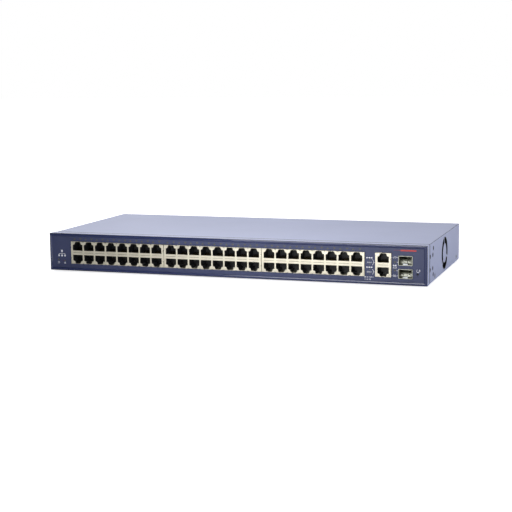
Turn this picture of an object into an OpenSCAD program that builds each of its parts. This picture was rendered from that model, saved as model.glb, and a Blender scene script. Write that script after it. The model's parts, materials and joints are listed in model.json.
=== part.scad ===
// Rackmount network switch: a flat steel casing with stacked network sockets along its front.
// Sub-parts are drawn in casing coordinates: x from the middle, y back from the bezel's rim
// and z up from the casing's underside. in_casing() moves them so that the part's origin is
// under its middle, at the level that its feet stand on. The front faces -y.

/* [Casing] */
// Width across the bezel and the front frame
body_w = 440; // [439:0.5:441]
// Height of the casing without its feet
body_h = 43; // [43:0.1:44]
// Depth from the bezel's rim to the mains inlet's collar
body_d = 205; // [205:0.5:220]
// Thickness of the casing's steel sheet
sheet = 1; // [0.8:0.1:1]
// Outer radius of the folded edges
bend_r = 1.4; // [1.1:0.1:2]
// Step from the front frame down to the cover
cover_step = 0.4; // [0.2:0.1:0.6]
// Width of the shadow groove between the front frame and the cover
groove_w = 2.2; // [1.5:0.1:3]
// Height of the rubber feet
foot_h = 2; // [1.5:0.1:4]
// Radius of the rubber feet
foot_r = 6; // [5:0.5:8]
// Distance of the feet's middles from the casing's sides, front and back
foot_inset = 26; // [22:1:40]

/* [Bezel] */
// Depth of the bezel
bezel_d = 3.2; // [3:0.1:3.5]
// Chamfer round the outer edge of the rim
rim_chamfer = 1.8; // [1:0.1:1.9]
// Bevel from the rim down to the label
rim_bevel = 1.2; // [0.8:0.1:1.3]
// Width of the rim, with its chamfer and bevel
rim_w = 3.4; // [3.2:0.1:3.6]
// Depth of the recess that the label lies in
recess_d = 1.7; // [1.5:0.1:1.9]
// Thickness of the label film
label_t = 0.25; // [0.2:0.05:0.4]

/* [Sockets] */
// Pitch of the socket columns
port_pitch = 13.97; // [13.9:0.01:14]
// Columns in each large block
columns = 8; // [6:1:8]
// Pitch of the large blocks
block_pitch = 115.2; // [115:0.1:115.4]
// Left end of the first column
first_column_x = -190.7; // [-191:0.1:-190.5]
// Middle of the single-column block
single_x = 173.1; // [173:0.1:173.4]
// Height of the line between the upper and lower sockets
port_mid_z = 21.3; // [21:0.1:21.5]
// Height of a block
block_h = 25.6; // [25.6:0.1:25.8]
// Width of a socket's mouth
port_w = 11.9; // [11.7:0.1:12]
// Depth of a socket
port_depth = 15.5; // [15:0.5:18]

/* [Transceiver cages] */
// Middle of both cages across the front
cage_x = 196.8; // [196.6:0.1:197]
// Middle height of the upper cage
cage_upper_z = 26.5; // [26.4:0.1:26.7]
// Middle height of the lower cage
cage_lower_z = 12.45; // [12.3:0.05:12.6]
// Length of a cage
cage_len = 48; // [46:1:50]

/* [Fan] */
// Size of the square fan frame
fan_size = 40; // [38:1:40]
// Thickness of the fan
fan_t = 20; // [20:1:22]
// Distance of the fan's axis from the bezel's rim
fan_y = 105.3; // [100:0.5:112]
// Radius of the vent in the casing's side
vent_r = 18; // [16:0.5:18.5]
// Radius of the plain disc in the middle of the vent
vent_disc_r = 11; // [10:0.5:12]
// Fan blades
blade_count = 7; // [5:1:9]
// Blade angle from the fan's axis
blade_pitch = 42; // [30:1:50]

/* [Rack ear holes] */
// Radius of the ear holes
ear_hole_r = 2; // [1.7:0.1:2.2]
// Distance of the ear pattern's middle from the bezel's rim
ear_y = 26.3; // [26:0.1:27]
// Height of the ear pattern's middle
ear_z = 21.8; // [21.5:0.1:22]
// Hole spacing along the casing
ear_spacing_y = 15; // [14:0.5:15]
// Hole spacing up the casing
ear_spacing_z = 14.4; // [14:0.1:15]
// Distance of the outer hole pair from the bezel's rim
ear_pair_y = 36.5; // [36:0.5:38]
// Spacing of the outer hole pair
ear_pair_spacing = 28.2; // [27:0.1:29]

/* [Reset button] */
// Middle of the reset pinhole across the front
reset_x = 209.7; // [209:0.1:210]
// Height of the reset pinhole
reset_z = 12.25; // [12:0.05:12.5]
// Travel of the reset button
reset_travel = 0.3; // [0.2:0.05:0.35]

/* [Hidden] */
$fn = 48;
fit_gap = 0.05; // hairline between parts that are fitted together
clearance = 0.2; // room round a part that passes through a window
cut = 1; // how far a cutting shape runs past the face that it cuts

// Faces of the casing
cover_w = body_w - 2 * cover_step;
cover_h = body_h - cover_step;
wall_back = bezel_d + sheet;
frame_back = 13;
cover_front = frame_back + groove_w;
inlet_flange_t = 1.5;
inlet_collar = 0.6;
rear_out = body_d - inlet_flange_t - inlet_collar;
rear_in = rear_out - sheet;
side_in = cover_w / 2 - sheet;
tray_x = side_in - 0.1;
tray_rear_h = cover_h - sheet - clearance;
flange_h = 15;
tab_front = 6;
tab_back = 52;
tab_h = 39;
tongue_x = tray_x - 2;
tongue_z = body_h - 3;
tongue_len = 7;
tongue_t = 0.8;
lip_h = 11;
lip_x = 200;
side_screws = [[46.8, 4.6], [183.8, 5.2]]; // distance from the rim, height
rear_screw_x = [-150, 0, 120];
rear_screw_z = cover_h - 7;
screw_r = 1.45;
screw_head_r = 2.8;
slot_count = 16;
slot_pitch = 6;
slot_w = 3;
slot_front = 80;
slot_z = [flange_h + 1.5, flange_h + 19.5]; // clear of the tray's flange
arm_angles = [100, 220, 340];
arm_w = 2.6;

// Faces of the front
label_front = recess_d - label_t;
face_front = 0.15;
shield_t = 0.3;
block_w = columns * port_pitch + 2.9;
single_w = 17.2;
block_back = 28;
foot_strip = 4;
column_x = [for (b = [0:2]) first_column_x + b * block_pitch];
block_x = [for (x = column_x) x + columns * port_pitch / 2];
single_column_x = single_x - port_pitch / 2;
port_low = 2.5; // from the middle line to a socket's floor
port_high = 9; // and to its shoulders
key_top = 12.35; // and to the top of the latch key
key_w = [7.5, 5.2]; // latch key width at its foot and top
notch = [1.2, 0.5]; // small notches in the shield's edges at each divider
cage_w = 14.5;
cage_h = 9.5;
cage_t = 0.25;
cage_front = 0.3;
collar_w = 15.3;
collar_h = 10.25;

// Lights on the label: [x, z] of their middles
lamp_row_z = 36.95;
lamp_shift = -0.45;
lamp_half = 3.7;
lamp_w = 3.2;
lamp_h = 2.3;
single_lamps = [for (z = [26.2, 21.1, 16.1, 11.1]) [158.5, z]];
cage_lamps = [for (z = [24.7, 15.8]) [185.5, z]];
single_lamp_size = [1.7, 1.5];
cage_lamp_size = [2.1, 1.8];
power_lamp = [-208.9, 12.65];
power_lamp_r = 1.15;
fan_lamp = [-201, 11.45];
fan_lamp_size = [2, 1.1];
lamp_gap = 0.08;
lamp_room = 1.45; // from a lamp's middle to the edge of the slot behind the label
guide_r = 0.9;
guide_leg_y = 30.2;
guide_front = wall_back + clearance;
tip_back = guide_front + 0.2;
row_web = [10, 13]; // web that joins the arms of a row's guide
web = [5, 7]; // web that joins the arms of a small guide
single_legs = [24, 19, 14, 9];
cage_legs = [14, 9];
status_leg = 9;
pinhole_r = 1.2;

// Boards
board_z = 5;
board_t = 1.6;
board_top = board_z + board_t;
light_h = 0.8;
guide_foot = board_top + light_h + 0.1;
standoff_r = 3;
board_hole_r = 1.7;
main_spots = [[-200, 60], [-10, 60], [150, 60], [-200, 94], [-10, 94], [150, 94]];
power_spots = [[-14, 118], [129, 118], [-14, 189], [129, 189]];
board_spots = concat(main_spots, power_spots);
board_outline = [[-213, 5], [213, 5], [213, 80], [190, 80], [190, 100], [-213, 100]];
power_corner = [-20, 112];
power_size = [155, 84];
chip_spots = [[-80, 74], [60, 74]];
chip_size = 28;
chip_h = 2.2;
crystal_spot = [-45, 74];
sink_size = 32;
sink_fins = 7;
fan_in = side_in - clearance - fan_t;
fan_z = sheet + fan_size / 2;
fan_bore = 18.9;
fan_hole = fan_size / 2 - 4;
inlet_x = 172;
inlet_z = 21;
inlet_body = [27, 19.8];
inlet_flange = [50, 23];
inlet_sink_r = 3;
inlet_back = 184;
inlet_floor = 188;
inlet_screw = 20;
earth_spot = [195, 185];
pin_spots = [[-7, -2], [7, -2], [0, 3.5]]; // live, neutral, earth from the inlet's middle

// Routes of the leads inside
mains_routes = [
    [[165, 177, 19], [165, 174, 18.5], [162, 172.5, 15], [156, 172, 11], [134, 172, 10]],
    [[179, 177, 19], [179, 170, 18], [176, 164, 14], [168, 163, 11], [134, 163, 10]],
    [[172, 177, 24.5], [172, 170, 26], [180, 160, 26], [190, 160, 16], [195, 165, 6], [195, 170, 2.6],
     [195, 177, 2.2]]
];
supply_routes = [for (x = [23, 26, 29])
    [[x, 113, 10], [x, 110, 10], [x, 105.5, 13], [x, 101, 10], [x, 98, 10]]];
fan_routes = [for (x = [202, 205])
    [[x, 85.3, 9], [x, 82, 9], [x, 78.6, 11.5], [x, 75, 9], [x, 72, 9]]];
lead_r = 1.1;

paint = [0.62, 0.64, 0.74];
navy = [0.24, 0.27, 0.37];
film = [0.26, 0.29, 0.39];
tin = [0.80, 0.78, 0.72];
zinc = [0.70, 0.72, 0.74];
black = [0.08, 0.08, 0.09];
gold = [0.85, 0.68, 0.30];
clear = [0.62, 0.62, 0.50];
board_green = [0.10, 0.35, 0.20];
copper = [0.72, 0.45, 0.25];
rubber = [0.12, 0.12, 0.12];

// Places a sub-part from casing coordinates into the part's own frame
module in_casing() {
    translate([0, -body_d / 2, foot_h]) children();
}

// A box between two corners
module span(low, high) {
    translate(low) cube(high - low);
}

// A rectangle between two corners
module area(low, high) {
    translate(low) square(high - low);
}

// A rod along x
module rod_x(x0, x1, y, z, r) {
    translate([x0, y, z]) rotate([0, 90, 0]) cylinder(r = r, h = x1 - x0);
}

// A rod along y
module rod_y(x, z, y0, y1, r) {
    translate([x, y0, z]) rotate([-90, 0, 0]) cylinder(r = r, h = y1 - y0);
}

// An outline in x and z, carried back from y0 to y1
module through(y0, y1) {
    translate([0, y1, 0]) rotate([90, 0, 0]) linear_extrude(y1 - y0) children();
}

// An outline in y and z, carried across from x0 to x1
module across(x0, x1) {
    translate([x0, 0, 0]) rotate([90, 0, 90]) linear_extrude(x1 - x0) children();
}

// The casing's front outline, with its two upper edges rounded
module casing_outline(w, h, r, low = 0) {
    area([-w / 2, low], [w / 2, h - r]);
    area([-w / 2 + r, low], [w / 2 - r, h]);
    for (side = [-1, 1]) translate([side * (w / 2 - r), h - r]) circle(r);
}

// Windows for the sockets and cages, in x and z
module front_windows(room) {
    area([block_x[0] - block_w / 2 - room, port_mid_z - block_h / 2 - room],
         [block_x[2] + block_w / 2 + room, port_mid_z + block_h / 2 + room]);
    area([single_x - single_w / 2 - room, port_mid_z - block_h / 2 - room],
         [single_x + single_w / 2 + room, port_mid_z + block_h / 2 + room]);
    for (z = [cage_upper_z, cage_lower_z])
        area([cage_x - collar_w / 2 - room / 2, z - collar_h / 2 - room / 2],
             [cage_x + collar_w / 2 + room / 2, z + collar_h / 2 + room / 2]);
}

// Slots behind the label that the light guides pass through, and the reset pinhole
module lamp_slots() {
    for (x = block_x)
        area([x - block_w / 2 + 1, lamp_row_z - lamp_room], [x + block_w / 2 - 1, lamp_row_z + lamp_room]);
    area(single_lamps[3] - [lamp_room, lamp_room], single_lamps[0] + [lamp_room, lamp_room]);
    area(cage_lamps[1] - [lamp_room, lamp_room], cage_lamps[0] + [lamp_room, lamp_room]);
    area([power_lamp[0] - lamp_room, fan_lamp[1] - lamp_room],
         [fan_lamp[0] + lamp_room, power_lamp[1] + lamp_room]);
    translate([reset_x, reset_z]) circle(pinhole_r);
}

// One lamp of a socket row: a triangle that points up or down
module triangle_lamp(x, way, gap) {
    w = lamp_w / 2 - gap;
    h = lamp_h / 2 - gap / 2;
    translate([x, lamp_row_z]) polygon([[-w, -way * h], [w, -way * h], [0, way * h]]);
}

// All lamps of a large block
module block_lamps(b, gap) {
    for (c = [0:columns - 1]) {
        middle = column_x[b] + (c + 0.5) * port_pitch + lamp_shift;
        triangle_lamp(middle - lamp_half, 1, gap);
        triangle_lamp(middle + lamp_half, -1, gap);
    }
}

// A small rectangular lamp
module bar_lamp(spot, size, gap) {
    half = size / 2 - [gap, gap];
    area(spot - half, spot + half);
}

// The power lamp and the fan lamp at the left end
module status_lamps(gap) {
    translate(power_lamp) circle(power_lamp_r - gap);
    bar_lamp(fan_lamp, fan_lamp_size, gap);
}

// The lamps beside the single sockets and the cages
module end_lamps(gap) {
    for (spot = single_lamps) bar_lamp(spot, single_lamp_size, gap);
    for (spot = cage_lamps) bar_lamp(spot, cage_lamp_size, gap);
}

// A hole through the left or right side, both of the cover and of the tray's flange
module side_hole(side, y, z, r) {
    rod_x(side * tray_x - 3 * sheet, side * tray_x + 3 * sheet, y, z, r);
}

// Holes for the rack ears in one side
module ear_holes(side) {
    for (y = [-1, 1], z = [-1, 1])
        side_hole(side, ear_y + y * ear_spacing_y / 2, ear_z + z * ear_spacing_z / 2, ear_hole_r);
    for (z = [-1, 1])
        side_hole(side, ear_pair_y, ear_z + z * ear_pair_spacing / 2, ear_hole_r);
}

module base_tray() {
    color(paint) in_casing() difference() {
        union() {
            span([-tray_x, wall_back, 0], [tray_x, rear_out, sheet]);
            span([-tray_x, rear_in, 0], [tray_x, rear_out, tray_rear_h]);
            for (x = [-tray_x, tray_x - sheet]) {
                span([x, tab_front, 0], [x + sheet, rear_out, flange_h]);
                span([x, tab_front, 0], [x + sheet, tab_back, tab_h]);
            }
        }
        for (side = [-1, 1]) {
            ear_holes(side);
            for (s = side_screws) side_hole(side, s[0], s[1], screw_r + fit_gap);
        }
        for (x = rear_screw_x) rod_y(x, rear_screw_z, rear_in - cut, rear_out + cut, screw_r + clearance);
        for (x = [-inlet_screw, inlet_screw])
            rod_y(inlet_x + x, inlet_z, rear_in - cut, rear_out + cut, screw_r + clearance);
        through(rear_in - cut, rear_out + cut) translate([inlet_x, inlet_z])
            square(inlet_body + 2 * [clearance, clearance], center = true);
        span([tray_x - 2, fan_y - fan_size / 2 - cut, sheet],
             [tray_x + cut, fan_y + fan_size / 2 + cut, flange_h + cut]);
        translate([earth_spot[0], earth_spot[1], -cut]) cylinder(r = screw_r + fit_gap, h = sheet + 2 * cut);
    }
}

// Ring-shaped opening with three arms in the right side
module fan_vent() {
    difference() {
        rod_x(side_in - cut, cover_w / 2 + cut, fan_y, fan_z, vent_r);
        rod_x(side_in - 2 * cut, cover_w / 2 + 2 * cut, fan_y, fan_z, vent_disc_r);
        for (angle = arm_angles)
            translate([side_in - 2 * cut, fan_y, fan_z]) rotate([angle, 0, 0])
                translate([0, 0, -arm_w / 2]) cube([sheet + 4 * cut, vent_r + cut, arm_w]);
    }
}

// Countersunk hole for a side screw
module side_screw_sink(side, spot) {
    translate([side * cover_w / 2, spot[0], spot[1]]) rotate([0, -90 * side, 0])
        cylinder(r1 = screw_head_r, r2 = screw_head_r - sheet, h = sheet + 0.01);
}

module top_cover() {
    color(paint) in_casing() difference() {
        union() {
            difference() {
                through(cover_front, rear_out) casing_outline(cover_w, cover_h, bend_r);
                through(cover_front - cut, rear_out + cut)
                    casing_outline(cover_w - 2 * sheet, cover_h - sheet, bend_r - sheet, -cut);
            }
            span([-lip_x, rear_in - clearance - sheet, cover_h - lip_h],
                 [lip_x, rear_in - clearance, cover_h - sheet / 2]);
        }
        for (side = [-1, 1]) {
            ear_holes(side);
            for (s = side_screws) side_screw_sink(side, s);
        }
        for (x = rear_screw_x) rod_y(x, rear_screw_z, rear_in - 2 * sheet, rear_in, screw_r + fit_gap);
        fan_vent();
        for (k = [0:slot_count - 1])
            span([-cover_w / 2 - cut, slot_front + k * slot_pitch, slot_z[0]],
                 [-side_in + cut, slot_front + k * slot_pitch + slot_w, slot_z[1]]);
    }
}

module front_frame() {
    color(paint) in_casing() difference() {
        union() {
            difference() {
                through(bezel_d, frame_back) casing_outline(body_w, body_h, bend_r);
                through(wall_back, frame_back + cut)
                    casing_outline(body_w - 2 * sheet, body_h - sheet, bend_r - sheet, -cut);
            }
            span([-tongue_x, frame_back - sheet, tongue_z], [tongue_x, frame_back, body_h - sheet / 2]);
            span([-tongue_x, frame_back - sheet, tongue_z],
                 [tongue_x, frame_back + tongue_len, tongue_z + tongue_t]);
        }
        through(bezel_d - cut, wall_back + cut) {
            front_windows(2 * clearance);
            lamp_slots();
        }
    }
}

module front_bezel() {
    floor_x = body_w / 2 - rim_w;
    slope = 2 * rim_bevel;
    color(navy) in_casing() difference() {
        intersection() {
            across(-body_w / 2, body_w / 2)
                polygon([[bezel_d, 0], [rim_chamfer, 0], [0, rim_chamfer], [0, body_h - rim_chamfer],
                         [rim_chamfer, body_h], [bezel_d, body_h]]);
            linear_extrude(body_h)
                polygon([[-body_w / 2, bezel_d], [-body_w / 2, rim_chamfer], [-body_w / 2 + rim_chamfer, 0],
                         [body_w / 2 - rim_chamfer, 0], [body_w / 2, rim_chamfer], [body_w / 2, bezel_d]]);
        }
        intersection() {
            across(-body_w, body_w)
                polygon([[recess_d, rim_w], [-recess_d, rim_w - slope], [-recess_d, body_h - rim_w + slope],
                         [recess_d, body_h - rim_w]]);
            linear_extrude(body_h)
                polygon([[-floor_x, recess_d], [-floor_x - slope, -recess_d], [floor_x + slope, -recess_d],
                         [floor_x, recess_d]]);
        }
        through(-cut, bezel_d + cut) {
            front_windows(clearance);
            lamp_slots();
        }
    }
}

module front_label() {
    edge = rim_w + fit_gap;
    color(film) in_casing() through(label_front, recess_d) difference() {
        area([-body_w / 2 + edge, edge], [body_w / 2 - edge, body_h - edge]);
        front_windows(clearance);
        for (b = [0:2]) block_lamps(b, 0);
        status_lamps(0);
        end_lamps(0);
        translate([reset_x, reset_z]) circle(pinhole_r);
    }
}

module cover_screws() {
    color(zinc) in_casing() {
        for (side = [-1, 1], s = side_screws) {
            translate([side * (cover_w / 2), s[0], s[1]]) rotate([0, -90 * side, 0]) {
                cylinder(r1 = screw_head_r - fit_gap, r2 = screw_head_r - fit_gap - sheet, h = sheet);
                cylinder(r = screw_r, h = 6);
            }
        }
        for (x = rear_screw_x) {
            rod_y(x, rear_screw_z, rear_out, rear_out + 1.6, screw_head_r);
            rod_y(x, rear_screw_z, rear_out - 6, rear_out + sheet, screw_r);
        }
    }
}

module rubber_feet() {
    color(rubber) in_casing() for (x = [-1, 1], y = [foot_inset, rear_out - foot_inset])
        translate([x * (body_w / 2 - foot_inset), y, -foot_h]) {
            cylinder(r1 = foot_r - 0.5, r2 = foot_r, h = 0.5);
            translate([0, 0, 0.5]) cylinder(r = foot_r, h = foot_h - 0.5);
        }
}

// Outline of one socket's mouth, from the middle line upwards
module port_outline(x) {
    half = port_w / 2;
    foot = key_w[0] / 2;
    top = key_w[1] / 2;
    bend = key_top - 1.5;
    translate([x, port_mid_z])
        polygon([[-half, port_low], [half, port_low], [half, port_high], [foot, port_high], [foot, bend],
                 [top, key_top], [-top, key_top], [-foot, bend], [-foot, port_high], [-half, port_high]]);
}

// Moulded walls of a block: layers of walls and decks round the sockets, a back and a base
module jack_walls(start, count, w) {
    middle = start + count * port_pitch / 2;
    low_x = middle - w / 2 + shield_t + fit_gap;
    high_x = middle + w / 2 - shield_t - fit_gap;
    front = face_front + shield_t + fit_gap;
    back = block_back - shield_t - fit_gap;
    top = block_h / 2 - shield_t - fit_gap;
    hair = fit_gap / 2;
    translate([0, 0, port_mid_z]) {
        span([low_x, front, -port_low + hair], [high_x, port_depth, port_low - hair]);
        for (way = [0, 1]) mirror([0, 0, way]) for (c = [0:count]) {
            x = start + c * port_pitch;
            wall = (port_pitch - port_w) / 2;
            shoulder = (port_pitch - key_w[0]) / 2;
            span([max(low_x, x - wall), front, port_low + hair],
                 [min(high_x, x + wall), port_depth, port_high - hair]);
            span([max(low_x, x - shoulder), front, port_high + hair],
                 [min(high_x, x + shoulder), port_depth, top]);
        }
        span([low_x, port_depth + fit_gap, -top], [high_x, back, top]);
    }
    span([low_x, foot_strip + cut, board_top], [high_x, back, port_mid_z - top - fit_gap]);
}

// Formed metal shield round a block, with its face pierced for the sockets
module jack_shield(start, count, w) {
    middle = start + count * port_pitch / 2;
    half = block_h / 2;
    inner = half - shield_t;
    inner_x = w / 2 - shield_t;
    difference() {
        translate([middle, 0, port_mid_z]) difference() {
            span([-w / 2, face_front, -half], [w / 2, block_back, half]);
            span([-inner_x, face_front + shield_t, -inner], [inner_x, block_back - shield_t, inner]);
            span([-inner_x, foot_strip, -half - cut], [inner_x, block_back + cut, -inner + cut]);
        }
        through(face_front - cut, face_front + shield_t + 0.02) for (c = [0:count - 1]) {
            x = start + (c + 0.5) * port_pitch;
            port_outline(x);
            translate([0, 2 * port_mid_z]) mirror([0, 1]) port_outline(x);
        }
        for (c = [0:count], z = [-1, 1])
            translate([start + c * port_pitch, face_front, port_mid_z + z * half])
                cube([notch[0], 2 * cut, 2 * notch[1]], center = true);
    }
}

// Comb of eight contact wires on the floor of a socket
module contact_comb() {
    wires = 8;
    wire_pitch = 1.02;
    wire_w = 0.45;
    wire_t = 0.25;
    comb_w = wires * wire_pitch;
    translate([0, 3.5, port_low + fit_gap]) rotate([10.5, 0, 0]) {
        span([-comb_w / 2, 0, 0], [comb_w / 2, 0.8, wire_t]);
        for (k = [0:wires - 1])
            translate([(k + 0.5) * wire_pitch - comb_w / 2 - wire_w / 2, 0, 0]) cube([wire_w, 9, wire_t]);
    }
}

module jack_combs(start, count) {
    for (c = [0:count - 1], way = [0, 1])
        translate([start + (c + 0.5) * port_pitch, 0, port_mid_z]) mirror([0, 0, way]) contact_comb();
}

module jack_housing(b) {
    color(black) in_casing()
        if (b < 3) jack_walls(column_x[b], columns, block_w);
        else jack_walls(single_column_x, 1, single_w);
}

module jack_case(b) {
    color(tin) in_casing()
        if (b < 3) jack_shield(column_x[b], columns, block_w);
        else jack_shield(single_column_x, 1, single_w);
}

module jack_contacts() {
    color(gold) in_casing() {
        for (start = column_x) jack_combs(start, columns);
        jack_combs(single_column_x, 1);
    }
}

// A folded cage, open at the front
module cage(z) {
    translate([cage_x, cage_front, z]) difference() {
        span([-cage_w / 2, 0, -cage_h / 2], [cage_w / 2, cage_len, cage_h / 2]);
        span([-cage_w / 2 + cage_t, -cut, -cage_h / 2 + cage_t],
             [cage_w / 2 - cage_t, cage_len - cage_t, cage_h / 2 - cage_t]);
    }
}

module upper_cage() {
    color(zinc) in_casing() cage(cage_upper_z);
}

module lower_cage() {
    low = cage_lower_z - cage_h / 2;
    color(zinc) in_casing() {
        cage(cage_lower_z);
        for (x = [-1, 1], y = [8, 24, 42]) translate([cage_x + x * (cage_w / 2 - 1), y, 0])
            span([-0.5, -0.5, board_top], [0.5, 0.5, low + cage_t / 2]);
    }
}

module cage_spacer() {
    color(black) in_casing()
        span([cage_x - cage_w / 2 + 0.5, frame_back, cage_lower_z + cage_h / 2],
             [cage_x + cage_w / 2 - 0.5, cage_len - 2, cage_upper_z - cage_h / 2]);
}

// Spring collar round the mouth of each cage
module cage_springs() {
    color(tin) in_casing() for (z = [cage_upper_z, cage_lower_z]) through(0.6, 5) translate([cage_x, z])
        difference() {
            square([collar_w, collar_h], center = true);
            square([cage_w + 2 * fit_gap, cage_h + 2 * fit_gap], center = true);
        }
}

module cage_connectors() {
    color(black) in_casing() for (z = [cage_upper_z, cage_lower_z]) translate([cage_x, cage_len - 10, z])
        difference() {
            span([-5.5, 0, -2.75], [5.5, 9, 2.75]);
            span([-4.6, -cut, -0.7], [4.6, 4, 0.7]);
        }
}

// One light guide from the front wall back over the board, then down to its lamp
module guide_arm(x, z, leg_y) {
    span([x - guide_r, guide_front, z - guide_r], [x + guide_r, leg_y + 2 * guide_r, z + guide_r]);
    span([x - guide_r, leg_y, guide_foot], [x + guide_r, leg_y + 2 * guide_r, z + guide_r]);
}

function lamp_xs(b) = [for (c = [0:columns - 1], way = [-1, 1])
    column_x[b] + (c + 0.5) * port_pitch + lamp_shift + way * lamp_half];

module block_guide(b) {
    xs = lamp_xs(b);
    color(clear) in_casing() {
        through(label_front, tip_back) block_lamps(b, lamp_gap);
        for (x = xs) guide_arm(x, lamp_row_z, guide_leg_y);
        span([xs[0], row_web[0], lamp_row_z - guide_r], [xs[len(xs) - 1], row_web[1], lamp_row_z + guide_r]);
    }
}

module single_guide() {
    x = single_lamps[0][0];
    color(clear) in_casing() {
        through(label_front, tip_back)
            for (spot = single_lamps) bar_lamp(spot, single_lamp_size, lamp_gap);
        for (k = [0:3]) guide_arm(x, single_lamps[k][1], single_legs[k]);
        span([x - guide_r, web[0], single_lamps[3][1]], [x + guide_r, web[1], single_lamps[0][1]]);
    }
}

module cage_guide() {
    x = cage_lamps[0][0];
    color(clear) in_casing() {
        through(label_front, tip_back)
            for (spot = cage_lamps) bar_lamp(spot, cage_lamp_size, lamp_gap);
        for (k = [0:1]) guide_arm(x, cage_lamps[k][1], cage_legs[k]);
        span([x - guide_r, web[0], cage_lamps[1][1]], [x + guide_r, web[1], cage_lamps[0][1]]);
    }
}

module status_guide() {
    color(clear) in_casing() {
        through(label_front, tip_back) status_lamps(lamp_gap);
        guide_arm(power_lamp[0], power_lamp[1], status_leg);
        guide_arm(fan_lamp[0], fan_lamp[1], status_leg);
        span([power_lamp[0], web[0], fan_lamp[1]], [fan_lamp[0], web[1], power_lamp[1]]);
    }
}

// One surface-mounted light on the board
module board_light(x, y) {
    span([x - 0.7, y, board_top], [x + 0.7, y + 2 * guide_r, board_top + light_h]);
}

module board_lights() {
    color("white") in_casing() {
        for (b = [0:2], x = lamp_xs(b)) board_light(x, guide_leg_y);
        for (y = single_legs) board_light(single_lamps[0][0], y);
        for (y = cage_legs) board_light(cage_lamps[0][0], y);
        for (x = [power_lamp[0], fan_lamp[0]]) board_light(x, status_leg);
    }
}

button_r = 1.65;
button_tip_r = 0.9;
button_tip = 4.6;
button_step = 7;
button_back = 12.1;
switch_front = 9;
switch_back = 13.5;

module reset_button() {
    color(black) in_casing() {
        rod_y(reset_x, reset_z, button_tip, button_step + cut, button_tip_r);
        rod_y(reset_x, reset_z, button_step, button_back, button_r);
    }
}

module reset_switch() {
    color(zinc) in_casing() difference() {
        span([reset_x - 3, switch_front, board_top], [reset_x + 3, switch_back, reset_z + 3]);
        rod_y(reset_x, reset_z, switch_front - cut, button_back + reset_travel + 0.1, button_r + 0.1);
    }
}

module main_board() {
    color(board_green) in_casing() translate([0, 0, board_z]) difference() {
        linear_extrude(board_t) polygon(board_outline);
        for (s = main_spots)
            translate([s[0], s[1], -cut]) cylinder(r = board_hole_r, h = board_t + 2 * cut);
    }
}

module board_standoffs() {
    color(zinc) in_casing() for (s = board_spots) translate([s[0], s[1], sheet]) difference() {
        cylinder(r = standoff_r, h = board_z - sheet);
        translate([0, 0, 0.5]) cylinder(r = screw_r + fit_gap, h = board_z);
    }
}

module board_screws() {
    color(zinc) in_casing() for (s = board_spots) translate([s[0], s[1], 2 * sheet]) {
        cylinder(r = screw_r, h = board_top - sheet);
        translate([0, 0, board_top - 2 * sheet]) cylinder(r = screw_head_r, h = 1.8);
    }
}

module port_transformers() {
    size = [24, 12, 6];
    color(black) in_casing() {
        for (start = column_x, k = [0:columns / 2 - 1])
            translate([start + (2 * k + 1) * port_pitch - size[0] / 2, 36, board_top]) cube(size);
        translate([single_x - size[0] / 4, 36, board_top]) cube([size[0] / 2, size[1], size[2]]);
    }
}

module switch_chips() {
    half = chip_size / 2;
    color(black) in_casing() for (s = chip_spots) translate([s[0], s[1], board_top])
        span([-half, -half, 0], [half, half, chip_h]);
}

module heat_sinks() {
    base_t = 2;
    fin_h = 12;
    fin_t = 1.4;
    fin_step = (sink_size - fin_t) / (sink_fins - 1);
    color(zinc) in_casing() for (s = chip_spots)
        translate([s[0] - sink_size / 2, s[1] - sink_size / 2, board_top + chip_h]) {
            cube([sink_size, sink_size, base_t]);
            for (k = [0:sink_fins - 1]) translate([k * fin_step, 0, 0]) cube([fin_t, sink_size, fin_h]);
        }
}

// Clock crystal in its round-ended can, with a small capacitor beside each end
module clock_crystal() {
    can = [11, 4.4, 3.4];
    chip = [1.2, 2, 1];
    end_x = (can[0] - can[1]) / 2;
    color(zinc) in_casing() translate([crystal_spot[0], crystal_spot[1], board_top]) {
        span([-end_x, -can[1] / 2, 0], [end_x, can[1] / 2, can[2]]);
        for (side = [-1, 1]) {
            translate([side * end_x, 0, 0]) cylinder(r = can[1] / 2, h = can[2]);
            translate([side * (can[0] / 2 + 2) - chip[0] / 2, -chip[1] / 2, 0]) cube(chip);
        }
    }
}

module board_capacitors() {
    color("dimgray") in_casing() for (x = [-150, -139, -128, 100, 111, 122])
        translate([x, 70, board_top]) cylinder(r = 4, h = 11);
}

module lead_plugs() {
    color("ivory") in_casing() {
        span([199, 66, board_top], [208, 72, 12]);
        span([20, 92, board_top], [32, 98, 13]);
        span([20, 113, board_top], [32, 119, 13]);
        span([127, 160, board_top], [134, 175, 13]);
    }
}

module power_board() {
    color([0.55, 0.45, 0.22]) in_casing() difference() {
        translate([0, 0, board_z]) linear_extrude(board_t) translate(power_corner) square(power_size);
        for (s = power_spots)
            translate([s[0], s[1], board_z - cut]) cylinder(r = board_hole_r, h = board_t + 2 * cut);
    }
}

module insulating_sheet() {
    margin = 4;
    room = [margin, margin];
    color("whitesmoke") in_casing() translate([0, 0, sheet]) linear_extrude(0.4) difference() {
        area(power_corner - room, power_corner + power_size + room);
        for (s = power_spots) translate(s) circle(standoff_r + clearance);
    }
}

module power_transformer() {
    color([0.75, 0.65, 0.20]) in_casing() translate([61, 154, board_top]) {
        difference() {
            span([-17, -14, 3], [17, 14, 25]);
            span([-11, -14 - cut, 8], [11, 14 + cut, 20]);
        }
        span([-11, -17, 8], [11, 17, 20]);
        span([-13, -17, 0], [13, 17, 3]);
    }
}

module mains_capacitor() {
    color("navy") in_casing() translate([98, 146, board_top]) cylinder(r = 9, h = 28);
}

module line_choke() {
    ring_r = 8;
    coil_r = 3.5;
    color(copper) in_casing() translate([104, 182, board_top + coil_r])
        rotate_extrude() translate([ring_r, 0]) circle(coil_r);
}

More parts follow.
